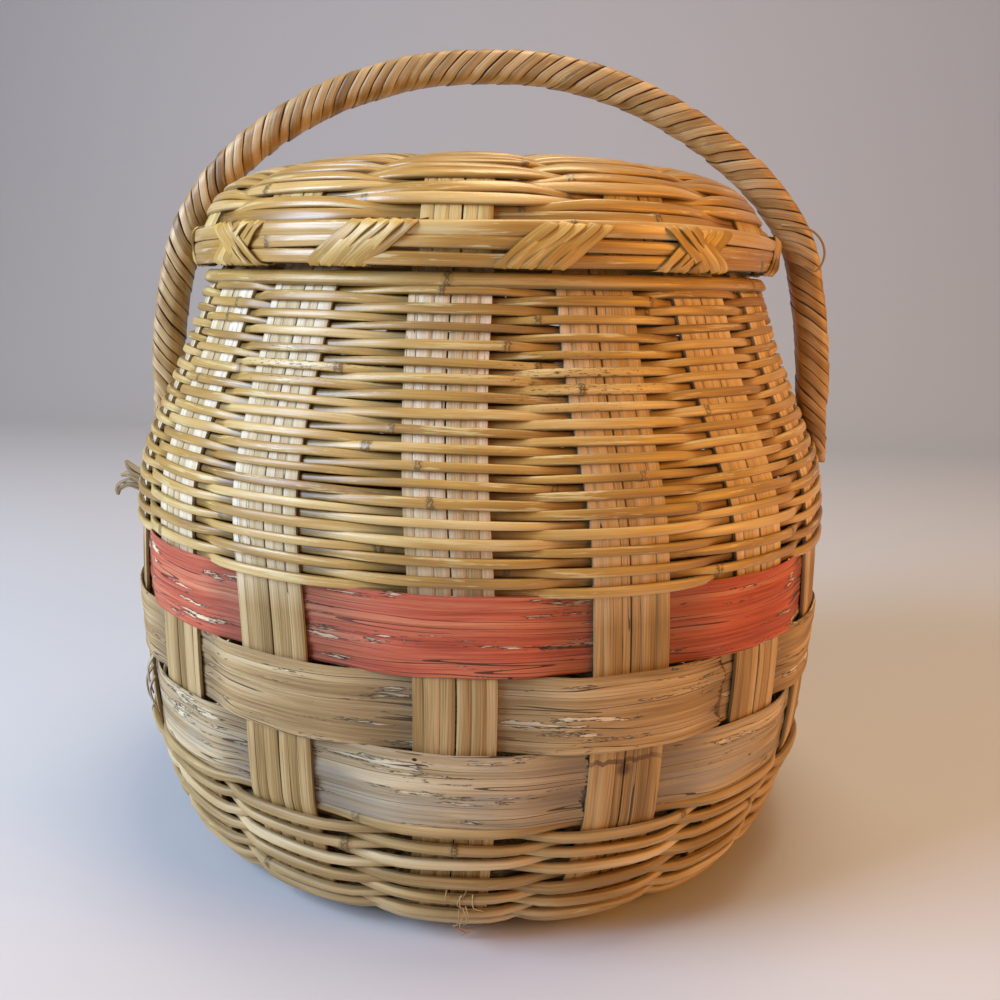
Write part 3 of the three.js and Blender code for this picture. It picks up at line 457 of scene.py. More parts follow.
# Patterns lie on a rod's own length and girth: how often each repeats in a metre along the fibre and across
# it, then its detail and roughness
CANE_CLOUDS = (14, 90), 2.0, 0.5  # slow changes of tone, 71 by 11 mm
CANE_OLD = (22, 380), 4.0, 0.7  # pale patches where the skin has rubbed off, 45 by 2.6 mm
CANE_TORN_RIM = (700, 900), 3.0, 0.5  # the torn rim of a joint's collar, 1.4 by 1.1 mm
CANE_DOTS = (240, 1100), 4.0, 0.75  # mildew, 4 by 0.9 mm
WOOD_BENDS = (9, 30), 2.0, 0.5  # how the grain wanders, 110 by 33 mm
WOOD_BROAD = (8, 160), 3.0, 0.5  # bands of tone, 125 by 6 mm
WOOD_WEATHER = (7, 45), 4.0, 0.65  # weathered patches, 140 by 22 mm
WOOD_FLAKES = (17, 165), 5.0, 0.7  # torn flakes, 59 by 6 mm
WOOD_CRACKS = (6, 210), 1.0, 0.5  # long cracks, 170 mm long and 5 mm apart
WOOD_CELLS = 70, 110, 1  # worm holes: cells of 14 by 9 mm, of which a few have a hole
GRAIN_SWAY = 0.0035
WOOD_TONES = 0.4, 0.58, 0.78
RELIEF = 0.0006
# A mildewed zone is this many times as wide as it is high
ZONE_FLATNESS = 3.2


def cane(name, dark, mid, light, fuzz, old, rough, coat, skin=(50, 0.9), old_share=0.6, tone_span=0.16,
         shade=0.5, shade_colour="#4c3518", mildewed=()):
    """Cane skin: a waxy face with fine lengthwise streaks, a ring and a scar at each joint."""
    material, tree = fresh_material(name)
    lay = node(tree, "ShaderNodeUVMap", uv_map="lay").outputs["UV"]
    tone, joint, tuck, edge = (node(tree, "ShaderNodeAttribute", attribute_name=mark).outputs["Fac"]
                               for mark in MARKS)
    patterns = {"streak": (repeats(*skin), 3.0, 0.6), "cloud": CANE_CLOUDS, "old": CANE_OLD,
                "torn_rim": CANE_TORN_RIM}
    if mildewed:
        patterns["dots"] = CANE_DOTS
    drawn = {}
    for pattern, ((along, across), detail, roughness) in patterns.items():
        scaled = node(tree, "ShaderNodeVectorMath", {0: lay, 1: (along, across, 1)},
                      operation="MULTIPLY").outputs[0]
        drawn[pattern] = node(tree, "ShaderNodeTexNoise", {
            "Vector": scaled, "Scale": 1.0, "Detail": detail, "Roughness": roughness},
            noise_dimensions="2D").outputs["Fac"]

    part = node(tree, "ShaderNodeMath", {0: drawn["streak"], 1: 0.45}, operation="MULTIPLY").outputs[0]
    part = node(tree, "ShaderNodeMath", {0: drawn["cloud"], 1: 0.75, 2: part},
                operation="MULTIPLY_ADD").outputs[0]
    shift = node(tree, "ShaderNodeMath", {0: tone, 1: tone_span, 2: part}, operation="MULTIPLY_ADD")
    colour = node(tree, "ShaderNodeValToRGB", {"Fac": shift.outputs[0]},
                  stops=[(0.34, dark), (0.6, mid), (0.86, light)]).outputs["Color"]
    worn = node(tree, "ShaderNodeValToRGB", {"Fac": drawn["old"]},
                stops=[(old_share, 0.0), (old_share + 0.07, 0.8)])
    # Joints: a fuzzy pale collar with a dark scar in its middle
    ragged = node(tree, "ShaderNodeMath", {0: drawn["torn_rim"], 1: 0.9, 2: joint},
                  operation="MULTIPLY_ADD").outputs[0]
    collar = node(tree, "ShaderNodeValToRGB", {"Fac": ragged}, stops=[(0.72, 0.0), (1.1, 0.6)])
    stripe = node(tree, "ShaderNodeMath", {0: ragged, 1: 1.28, 2: 0.16}, operation="COMPARE").outputs[0]
    scar = node(tree, "ShaderNodeMath", {0: stripe, 1: 0.7}, operation="MULTIPLY")
    # Painted shade where a cane goes in behind a stake and where it lies against the next
    seam = node(tree, "ShaderNodeMath", {0: edge, 1: shade}, operation="MULTIPLY").outputs[0]
    painted_shade_and_edges = node(tree, "ShaderNodeMath", {0: tuck, 1: 0.5, 2: seam}, operation="MULTIPLY_ADD",
                  use_clamp=True)
    layers = [(worn, old), (collar, fuzz), (scar, "#5b4023"), (painted_shade_and_edges, shade_colour)]
    if mildewed:
        place = node(tree, "ShaderNodeTexCoord").outputs["Object"]
        place = node(tree, "ShaderNodeVectorMath", {0: place, 1: (1, 1, ZONE_FLATNESS)},
                     operation="MULTIPLY").outputs[0]
    for x, y, z, reach in mildewed:
        far = node(tree, "ShaderNodeVectorMath", {0: place, 1: (x, y, z * ZONE_FLATNESS)},
                   operation="DISTANCE").outputs["Value"]
        near = node(tree, "ShaderNodeMapRange", {
            "Value": far, "From Min": 0.0, "From Max": reach, "To Min": 0.13, "To Max": -0.2}).outputs[0]
        dots = node(tree, "ShaderNodeMath", {0: near, 1: drawn["dots"]}, operation="ADD").outputs[0]
        mildew = node(tree, "ShaderNodeValToRGB", {"Fac": dots}, stops=[(0.61, 0.0), (0.66, 0.9)])
        layers.append((mildew, "#4a4028"))
    for share, tint in layers:
        colour = node(tree, "ShaderNodeMix", {0: share.outputs[0], 6: colour, 7: linear(tint)},
                      data_type="RGBA").outputs[2]

    lump = node(tree, "ShaderNodeMath", {0: ragged, 1: 0.35, 2: drawn["streak"]},
                operation="MULTIPLY_ADD").outputs[0]
    relief = node(tree, "ShaderNodeBump", {"Height": lump, "Strength": 0.25, "Distance": RELIEF})
    gloss = node(tree, "ShaderNodeMapRange", {
        "Value": part, "From Min": 0.3, "From Max": 0.9, "To Min": rough + 0.1, "To Max": rough - 0.06})
    shader = node(tree, "ShaderNodeBsdfPrincipled", {
        "Base Color": colour, "Roughness": gloss.outputs[0], "Normal": relief.outputs["Normal"],
        "Coat Weight": coat, "Coat Roughness": 0.26})
    node(tree, "ShaderNodeOutputMaterial", {"Surface": shader.outputs[0]})
    return material


def split_wood(name, dark, mid, light, cracks, tears=None, holes=None, torn="#ecd0aa", crack="#3a2712",
               rough=0.62, fibre=(70, 1.4), bump=1.0, tone_span=0.12, grey=None, upper=None, knot=None):
    """Split wood strip: matt, with open grain, lengthwise cracks and places where the face has torn away."""
    material, tree = fresh_material(name)
    lay = node(tree, "ShaderNodeUVMap", uv_map="lay").outputs["UV"]
    if upper or knot:
        place = node(tree, "ShaderNodeTexCoord").outputs["Object"]
        level = node(tree, "ShaderNodeSeparateXYZ", {0: place}).outputs["Z"]
    tone, tuck, edge = (node(tree, "ShaderNodeAttribute", attribute_name=mark).outputs["Fac"]
                        for mark in ("tone", "tuck", "edge"))
    # The bends come first, because the grain and all that follows it is laid along them
    patterns = {"bends": WOOD_BENDS, "streak": (repeats(*fibre), 5.0, 0.62), "broad": WOOD_BROAD,
                "cracks": WOOD_CRACKS}
    if grey:
        patterns["weather"] = WOOD_WEATHER
    if tears:
        patterns["flakes"] = WOOD_FLAKES
    drawn = {}
    sway = lay
    for pattern, ((along, across), detail, roughness) in patterns.items():
        scaled = node(tree, "ShaderNodeVectorMath", {
            0: lay if pattern == "weather" else sway, 1: (along, across, 1)}, operation="MULTIPLY").outputs[0]
        noise = node(tree, "ShaderNodeTexNoise", {
            "Vector": scaled, "Scale": 1.0, "Detail": detail, "Roughness": roughness}, noise_dimensions="2D")
        drawn[pattern] = noise.outputs["Fac"]
        if pattern == "bends":
            sway = node(tree, "ShaderNodeVectorMath", {
                0: noise.outputs["Color"], 1: (0.0, GRAIN_SWAY, 0.0), 2: lay},
                operation="MULTIPLY_ADD").outputs[0]

    part = node(tree, "ShaderNodeMath", {0: drawn["broad"], 1: 0.6}, operation="MULTIPLY").outputs[0]
    part = node(tree, "ShaderNodeMath", {0: drawn["streak"], 1: 0.6, 2: part},
                operation="MULTIPLY_ADD").outputs[0]
    shift = node(tree, "ShaderNodeMath", {0: tone, 1: tone_span, 2: part}, operation="MULTIPLY_ADD")
    colour = node(tree, "ShaderNodeValToRGB", {"Fac": shift.outputs[0]},
                  stops=list(zip(WOOD_TONES, (dark, mid, light)))).outputs["Color"]
    if upper:
        low, high, *above = upper
        share = node(tree, "ShaderNodeMapRange", {"Value": level, "From Min": low, "From Max": high})
        paler = node(tree, "ShaderNodeValToRGB", {"Fac": shift.outputs[0]},
                     stops=list(zip(WOOD_TONES, above)))
        colour = node(tree, "ShaderNodeMix", {0: share.outputs[0], 6: colour, 7: paler.outputs["Color"]},
                      data_type="RGBA").outputs[2]

    # What lies over the bare grain: its share, its colour and how deep it is cut
    layers = []
    if grey:
        faded = node(tree, "ShaderNodeValToRGB", {"Fac": drawn["weather"]}, stops=[(0.5, 0.0), (0.66, 0.75)])
        layers.append((faded, grey, 0))
    if tears:
        open_face = node(tree, "ShaderNodeValToRGB", {"Fac": drawn["flakes"]},
                         stops=[(tears, 0.0), (tears + 0.03, 1.0)])
        lip = node(tree, "ShaderNodeMath", {0: drawn["flakes"], 1: tears + 0.004, 2: 0.012},
                   operation="COMPARE").outputs[0]
        lip = node(tree, "ShaderNodeMath", {0: lip, 1: 0.75}, operation="MULTIPLY")
        layers += [(open_face, torn, 1.6), (lip, crack, 0)]
    where = node(tree, "ShaderNodeValToRGB", {"Fac": drawn["broad"]},
                 stops=[(cracks, 0.0), (cracks + 0.06, 0.9)]).outputs["Color"]
    line = node(tree, "ShaderNodeMath", {0: drawn["cracks"], 1: 0.5, 2: 0.012}, operation="COMPARE")
    line = node(tree, "ShaderNodeMath", {0: line.outputs[0], 1: where}, operation="MULTIPLY")
    layers.append((line, crack, 2.0))
    if holes:
        scaled = node(tree, "ShaderNodeVectorMath", {0: lay, 1: WOOD_CELLS}, operation="MULTIPLY").outputs[0]
        cells = node(tree, "ShaderNodeTexVoronoi", {"Vector": scaled, "Scale": 1.0}, voronoi_dimensions="2D")
        lot = node(tree, "ShaderNodeSeparateColor", {0: cells.outputs["Color"]}).outputs[0]
        chosen = node(tree, "ShaderNodeMath", {0: lot, 1: holes}, operation="LESS_THAN").outputs[0]
        small = node(tree, "ShaderNodeMath", {0: cells.outputs["Distance"], 1: 0.07},
                     operation="LESS_THAN").outputs[0]
        bored = node(tree, "ShaderNodeMath", {0: chosen, 1: small}, operation="MULTIPLY")
        layers.append((bored, "#2c1a0e", 2.0))
    # Painted shade where a strip goes in behind a stake, and its edges a little darker
    darker_edge = node(tree, "ShaderNodeMath", {0: edge, 1: 0.25}, operation="MULTIPLY").outputs[0]
    painted_shade_and_edges = node(tree, "ShaderNodeMath", {0: tuck, 1: 0.6, 2: darker_edge}, operation="MULTIPLY_ADD",
                  use_clamp=True)
    layers.append((painted_shade_and_edges, "#3f2b15", 0))
    if knot:
        # One stake has a knot: a dark scar 4 to 8 mm across, and 6 mm above it the line of the planed joint
        far = node(tree, "ShaderNodeVectorMath", {0: place, 1: knot}, operation="DISTANCE").outputs["Value"]
        near = node(tree, "ShaderNodeMapRange", {
            "Value": far, "From Min": 0.013, "From Max": 0.021, "To Min": 0.75, "To Max": 0.0}).outputs[0]
        jitter = node(tree, "ShaderNodeMath", {0: drawn["broad"], 1: 0.004, 2: level},
                      operation="MULTIPLY_ADD").outputs[0]
        across = node(tree, "ShaderNodeMath", {0: jitter, 1: knot[2] + 0.006, 2: 0.0011},
                      operation="COMPARE").outputs[0]
        joint_line = node(tree, "ShaderNodeMath", {0: near, 1: across}, operation="MULTIPLY")
        scar = node(tree, "ShaderNodeMapRange", {
            "Value": far, "From Min": 0.0022, "From Max": 0.0042, "To Min": 0.85, "To Max": 0.0})
        layers += [(joint_line, "#5a3a1c", 0), (scar, "#50301a", 0)]
    depth = drawn["streak"]
    for share, tint, cut in layers:
        share = share.outputs[0]
        colour = node(tree, "ShaderNodeMix", {0: share, 6: colour, 7: linear(tint)},
                      data_type="RGBA").outputs[2]
        if cut:
            depth = node(tree, "ShaderNodeMath", {0: share, 1: -cut, 2: depth},
                         operation="MULTIPLY_ADD").outputs[0]
    relief = node(tree, "ShaderNodeBump", {"Height": depth, "Strength": bump, "Distance": RELIEF})
    shader = node(tree, "ShaderNodeBsdfPrincipled", {
        "Base Color": colour, "Roughness": rough, "Normal": relief.outputs["Normal"]})
    node(tree, "ShaderNodeOutputMaterial", {"Surface": shader.outputs[0]})
    return material


# Upper rods: split cane, skin outwards, waxed by handling, so each carries a soft highlight
split_cane = cane("split_cane_skin_outwards", "#936e36", "#ba9347", "#dabc7c", fuzz="#9c8145", old="#d9c88d",
                  rough=0.42, coat=0.35, old_share=0.58,
                  mildewed=((0.055, -0.160, 0.246, 0.09), (-0.072, -0.150, 0.249, 0.075)))
# Lower rods: thick round rattan, smooth and a little duller
round_rattan = cane("round_rattan_shaved", "#8f7340", "#b99c66", "#d8c396", fuzz="#8e733e", old="#cdbb80",
                    rough=0.48, coat=0.06, skin=(60, 1.4), old_share=0.66)
# Lid and rim rods: broader cane with the whole skin left on, the glossiest of all
lid_cane = cane("flattened_cane_glossy_skin", "#97702e", "#be9245", "#dfbe7c", fuzz="#a08345", old="#e0d199",
                rough=0.32, coat=0.6)
# Lashings: thin cane peel, laid flat, with a soft shine and painted shade in the seams from strand to strand
peel = cane("cane_peel_lashing", "#a27b37", "#c69e4d", "#dfbf72", fuzz="#ab8f4f", old="#e2d090",
            rough=0.4, coat=0.15, skin=(50, 0.7), shade=0.75)
# The handle's winding: the same peel, browned by hands and duller, with deep painted shade where one strand
# lies against the next
winding = cane("cane_peel_handle_winding", "#7d5d34", "#ad8852", "#d4b686", fuzz="#866835", old="#d2be81",
               rough=0.44, coat=0.12, skin=(50, 0.8), old_share=0.62, tone_span=0.12, shade=0.9,
               shade_colour="#38240d")
# Stakes: bundles of bamboo splints, matt, pale and planed above, darker with age below the hoops
bamboo = split_wood("bamboo_splints_planed", "#7e6330", "#a68650", "#c8ac78", cracks=0.56, rough=0.6,
                    fibre=(60, 0.5), bump=0.35, upper=(0.150, 0.176, "#c2a876", "#e2cb9e", "#f6e8cc"),
                    knot=(0.0745, -0.1605, 0.0885))
lid_bamboo = split_wood("bamboo_splints_planed_lid", "#ab8943", "#cdae69", "#e6ce8a", cracks=0.56, rough=0.55,
                        fibre=(60, 0.5), bump=0.3)
# Wide hoops: riven wood with open grain, cracked and torn where it was bent; one is weathered, one dyed
riven = split_wood("riven_wood_strip", "#8c7044", "#b39461", "#d2ba8c", cracks=0.46, tears=0.615, holes=0.05,
                   torn="#e8d6b0", tone_span=0.1)
weathered = split_wood("riven_wood_strip_weathered", "#8c7650", "#b69e74", "#d6c39c", cracks=0.44,
                       tears=0.615, holes=0.07, torn="#dccdaa", grey="#a69e8e")
dyed = split_wood("riven_wood_strip_dyed_red", "#963a20", "#c15c3c", "#d68860", cracks=0.46, tears=0.61,
                  holes=0.04, crack="#4a160a")
# Handle core: a stack of rough slats, brown with age
core_wood = split_wood("rough_sawn_slats_brown", "#3f260f", "#5f3b1c", "#835828", cracks=0.5, tears=0.66,
                       fibre=(45, 0.6), bump=0.5)

# Stakes: rings up each side and through the plait, the gap between two splints, and half the gap in the
# middle of the bundle
ARM_RINGS, PLAIT_RINGS = 96, 31
SPLINT_GAP, PARTING = 0.04, 0.3


def arm(wall, angle, direction, top, widths, wide_from, middle, parting, dice):
    """Half a splint, from the plait's edge up the wall: its line, its facing and the whole slat's width."""
    s = np.linspace(0, top - dice.uniform(0, 1.2), ARM_RINGS)
    narrow_at = float(wall.line[0, 0])
    spread = np.clip((wall.radius(s) - narrow_at) / (wide_from - narrow_at), None, 1)
    width = widths[0] + (widths[1] - widths[0]) * spread
    lean = direction * (middle * width + parting) / wall.radius(s)
    lean = lean + 0.0006 * drift(s / 40, dice.uniform(0, 9), (1, 2, 3))
    raised = 0.12 * drift(s / 30, dice.uniform(0, 9), (1, 2))
    points = wall.place(angle + lean, s, raised)
    facing = wall.place(angle + lean, s, 1.0) - wall.place(angle + lean, s, 0.0)
    return points, facing, width


def splints(name, wall, row, quarter, pitch, widths, wide_from, level, sign, top, count, key):
    """One long slat as a bundle of narrow splints: up one side, through the plait, up the other."""
    piece = Piece(name)
    dice = luck(key, 11)
    beside = wall.stakes // 4
    even = beside % 2 == 0
    heading = quarter * math.pi / 2 + (wall.step / 2 if even else 0)
    turn = pitch - widths[0]
    edge = (beside - 1) / 2 * pitch + widths[0] / 2 + turn
    x = np.linspace(-edge, edge, PLAIT_RINGS)
    wave = np.cos(math.pi * (x / pitch + row)) * (1 if even or quarter == 0 else -1)
    wave = wave * sign * (SLAT / 2 + CLEAR / 2) * np.clip((edge - np.abs(x)) / turn, 0, 1)
    shares = dice.uniform(0.6, 1.4, count)
    shares /= shares.sum()
    middles = np.cumsum(shares) - shares / 2 - 0.5
    for n, (middle, share) in enumerate(zip(middles, shares)):
        parting = PARTING if n >= count // 2 else -PARTING
        tone = dice.uniform(-1, 1)
        slack = dice.uniform(0.0, 0.06, 2)
        (left_at, left_out, left_wide), (right_at, right_out, right_wide) = (
            arm(wall, angle + heading, direction, top, widths, wide_from, middle, parting, dice)
            for direction, angle in ((-1, math.pi - row * wall.step), (1, row * wall.step)))
        y = row * pitch + middle * widths[0]
        flat = np.stack([x * math.cos(heading) - y * math.sin(heading),
                         x * math.sin(heading) + y * math.cos(heading), level + wave], -1)
        at = np.concatenate([left_at[::-1], flat, right_at])
        out = np.concatenate([left_out[::-1], np.tile([0, 0, -1.0 * sign], (PLAIT_RINGS, 1)), right_out])
        wide = np.concatenate([left_wide[::-1], np.full(PLAIT_RINGS, widths[0]), right_wide]) * share
        gap = np.interp(np.arange(len(at)), [0, 40, len(at) - 40, len(at)], [slack[0], 0, 0, slack[1]])
        sweep(piece, at, out, SPLINT, wide - gap - SPLINT_GAP, SLAT * dice.uniform(0.82, 0.95), tone,
              start=dice.uniform(0, 900))
    return piece


for quarter, word in enumerate(("along", "across")):
    for row, side in zip((-1.5, -0.5, 0.5, 1.5), ("left", "inner_left", "inner_right", "right")):
        slat = splints(f"stake_splints_{word}_{side}", body, row, quarter, PLAIT_PITCH, SLAT_WIDTHS,
                       foot_radius, base_level, 1, body.end - 0.4, 6, 20 + 4 * quarter + row)
        slat.finish("basket", "splint_slat", bamboo, [f"slat_{word}_{side}"])
    for row, side in zip((-1, 0, 1), ("left", "middle", "right")):
        slat = splints(f"lid_splints_{word}_{side}", lid, row, quarter, LID_PITCH, LID_WIDTHS,
                       lid_radius, lid_plait_level, -1, lid.end - 0.3, 5, 40 + 3 * quarter + row)
        slat.finish("lid", "lid_slat", lid_bamboo, [f"lid_slat_{word}_{side}"])


# Weaves: thick rods below the hoops, thin rods above them, broad cane in two strands on the lid
STRANDS = -0.26, 0.26


def over_tongue(angle, s):
    """The rods at each side stake stand off over the handle's tongue."""
    near = sum(bell(np.angle(np.exp(1j * (angle - side))), 0.12) for side in (0.0, math.pi))
    return near * ((s < entry_at + 1) & (s > entry_at - TANG_LENGTH - upper_pitch)) * (SLAT + CLEAR)


for n, letter in enumerate("ab"):
    rods = Piece(f"lower_rods_{letter}")
    weave(rods, body, n * STAKES // 2, LOWER_ROWS // 2, lower_first, 2 * lower_pitch,
          (lower_first, band_at - 1 - lower_pitch / 2), SLAT / 2 + LOWER_DEPTH / 2 - 0.2, lower_pitch * 1.2,
          LOWER_DEPTH, ROUND_ROD, wander=2.6, key=5, radius=160, squeeze=0.86)
    rods.finish("basket", "round_rod", round_rattan, [f"lower_weaver_{letter}"], crease=0)
    rods = Piece(f"upper_rods_{letter}")
    weave(rods, body, n * STAKES // 2, UPPER_ROWS // 2, upper_first, 2 * upper_pitch,
          (upper_first, seat_at - SEAT_WIDTH / 2 - upper_pitch / 2), SLAT / 2 + 0.1 + UPPER_DEPTH / 2,
          upper_pitch * 1.14, UPPER_DEPTH, SPLIT_ROD, wander=0.9, key=6, radius=165, squeeze=0.9,
          lift=over_tongue)
    rods.finish("basket", "split_rod", split_cane, [f"upper_weaver_{letter}"], crease=55)
    rods = Piece(f"lid_rods_{letter}")
    for strand in STRANDS:
        weave(rods, lid, n * LID_STAKES // 2, LID_ROWS // 2, lid_first + strand * lid_pitch, 2 * lid_pitch,
              (lid_first, lid_weave_end - lid_pitch / 2), SLAT / 2 + LID_DEPTH / 2 - 0.25, lid_pitch * 0.92,
              LID_DEPTH, SPLIT_ROD, wander=1.8, key=7 + strand, radius=120, squeeze=0.7,
              fan=strand * 0.8 * lid_pitch)
    rods.finish("lid", "lid_rod", lid_cane, [f"lid_weaver_{letter}"], crease=55)


# Wide hoops: where the inner end starts in stakes, rings round, and columns over the face and the back
HOOP_START, HOOP_RINGS = -1.3, 420
FACE_COLUMNS, BACK_COLUMNS = 42, 5
# The hoops close the gaps that their solids leave, and the red one stands a little higher
HOOP_FILLS, RED_RAISED = 1.3, 0.7
OVERLAP_SEAMS = 3


def wide_hoop(name, s, lap_stake, lap_end, key):
    """A strip bent once round over the stakes, its outer end lapped over one of them and cut ragged."""
    piece = Piece(f"wide_hoop_{name}")
    dice = luck(key, 13)
    k = np.linspace(HOOP_START, STAKES + lap_end, HOOP_RINGS)
    wave = np.tanh(1.8 * np.cos(math.pi * k)) / math.tanh(1.8)
    lap = np.clip((k - (STAKES - 0.75)) / 0.4, 0, 1) - np.clip((-0.35 - k) / 0.4, 0, 1)
    off = (SLAT / 2 + CLEAR + BAND_THICK / 2) * wave + lap * (BAND_THICK + CLEAR)
    angle = (lap_stake + k) * body.step
    v = np.concatenate([np.linspace(-0.5, 0.5, FACE_COLUMNS), np.linspace(0.47, -0.47, BACK_COLUMNS)])
    face = np.concatenate([np.full(FACE_COLUMNS, 0.5), np.full(BACK_COLUMNS, -0.5)])
    face[0] = face[FACE_COLUMNS - 1] = 0.1
    top, low = (0.45 * drift(angle, key + n, (7, 13, 23, 37)) + 0.3 * drift(angle, key + n + 1, (3, 5))
                for n in (0, 2))
    if name == "red":
        top = top + RED_RAISED
    up = v[None] * (BAND_WIDTH + HOOP_FILLS) + 2 * np.where(v > 0, v * top[:, None], v * low[:, None])
    # The face is uneven: it ripples, has long seams where one layer of the wood ends, and cups to its edges
    ripple = 0.22 * np.sin(v * 17 + 2.2 * drift(angle, key + 4, (2, 3, 5))[:, None] + key)
    ripple = ripple + 0.11 * np.sin(v * 62 + 3 * drift(angle, key + 6, (3, 5, 9))[:, None])
    for n in range(OVERLAP_SEAMS):
        seam = dice.uniform(-0.36, 0.36) + 0.05 * drift(angle, key + 20 + n, (1, 2, 4))[:, None]
        deep = np.clip(drift(angle, key + 30 + n, (2, 3, 5)) * 2.5 + 0.4, 0, 1)[:, None]
        step_up = 0.22 * np.tanh((v - seam) / 0.012) * np.exp(-np.clip(v - seam, 0, None) / 0.16)
        ripple = ripple + deep * (step_up - 0.7 * bell(v - seam, 0.014)) * (face > 0)
    cup = 0.25 * (np.abs(v) * 2) ** 3 * (0.6 + 0.4 * drift(angle, key + 5, (2, 5))[:, None])
    raised = face[None] * BAND_THICK + ripple + cup
    jag = np.zeros((len(k), len(v)))
    jag[-1] = (dice.uniform(-1.2, 1.6, len(v)) + 1.5 * np.sin(v * 9)) / BELLY_RADIUS
    jag[-2] = jag[-1] * 0.6
    points = body.place(angle[:, None] + jag, s + up, off[:, None] + raised)
    along = np.abs(angle - angle[0]) * float(body.radius(s)) + 300 * key
    around = lengths_along(np.c_[v * BAND_WIDTH, face * BAND_THICK])
    # Painted shade where the hoop goes in behind a stake, and a darker rim along both long edges
    darker_edge = np.clip((np.abs(v) - 0.475) / 0.02, 0, 1)
    piece.roll(points, along, around, tuck=np.clip(0.35 - 0.5 * wave, 0, 1), edge=darker_edge)
    return piece


for n, (name, lap_stake, lap_end, slot, material) in enumerate((
        ("lower", 12, 0.74, "natural_band", weathered), ("middle", 13, 0.63, "natural_band_aged", riven),
        ("red", 4, 0.46, "red_band", dyed))):
    strip = wide_hoop(name, band_at + BAND_WIDTH / 2 + n * band_pitch, lap_stake, lap_end, 3 + n)
    strip.finish("basket", slot, material, [f"band_{name}"], crease=50)

# Hoops at the shoulder and the mouth
hoop = Piece("shoulder_hoop")
ring(hoop, body, seat_at - 0.6, SLAT / 2 + CLEAR + SEAT_DEPTH / 2 - 0.4, SPLIT_ROD, SEAT_WIDTH * 1.3,
     SEAT_DEPTH * 0.8, key=61, wander=0.4, turns=1.03, start=2.0)
hoop.finish("basket", "hoop_rod", split_cane, ["seat_hoop"], crease=55)
for word, sign in (("outer", 1), ("inner", -1)):
    hoop = Piece(f"mouth_hoop_rod_{word}")
    ring(hoop, body, mouth_at, sign * (SLAT / 2 + CLEAR + MOUTH_DEPTH / 2), ROUND_ROD, MOUTH_WIDTH,
         MOUTH_DEPTH, key=63 + sign, wander=0.1, turns=1.0, start=1.0, wobble=0.05)
    hoop.finish("basket", "hoop_rod", split_cane, [f"mouth_hoop_{word}"], crease=0)

# Rim of the lid: three rods outside, a flat hoop inside, lashed at twelve places
for n in range(RIM_RODS):
    rod = Piece(f"rim_cane_{n + 1}")
    s = lid.length_at(rim_bottom + RIM_HEIGHT / 2 + n * (RIM_HEIGHT + CLEAR))
    ring(rod, lid, s, SLAT / 2 + CLEAR + RIM_DEPTH / 2, SPLIT_ROD, RIM_HEIGHT * 1.12, RIM_DEPTH,
         key=70 + 3 * n, wander=1.3, turns=1.0, start=1.3 + n, wobble=0.5)
    rod.finish("lid", "rim_rod", lid_cane, [f"rim_rod_{n + 1}"], crease=55)
inner = Piece("rim_inner_strip")
ring(inner, lid, lid.length_at((rim_bottom + rim_top) / 2), -(SLAT / 2 + CLEAR + RIM_INNER_DEPTH / 2),
     FLAT_STRIP, RIM_INNER_WIDTH, RIM_INNER_DEPTH, key=81, wander=0.1, turns=1.0, start=0.4, wobble=0.05)
inner.finish("lid", "rim_rod", lid_cane, ["rim_inner_hoop"], crease=55)

# Lashings: a loop's outer and inner radius, and how low and high it reaches
lash_out = lid_radius + SLAT / 2 + CLEAR + RIM_DEPTH + 0.5
lash_in = lid_radius - SLAT / 2 - CLEAR - RIM_INNER_DEPTH - 0.5
lash_low, lash_high = rim_bottom - 0.85, rim_top + 0.85
PEEL_PITCH, PEEL_THICK, PEEL_LEAN = 5.5, 0.95, (20, 22.5)
LASH_RINGS, LASH_SQUARENESS = 33, 0.42
# Two lashings are crossed, four turns one way and three back over them, and stand a little aside, in radians
CROSSED, CROSSED_TURNS, CROSSED_STANDS_OFF = {7: 0.05, 10: -0.07}, ((4, 1), (3, -1)), 0.9


def squared(share, power):
    """A sine or cosine fuller or slimmer than round."""
    return np.sign(share) * np.abs(share) ** power


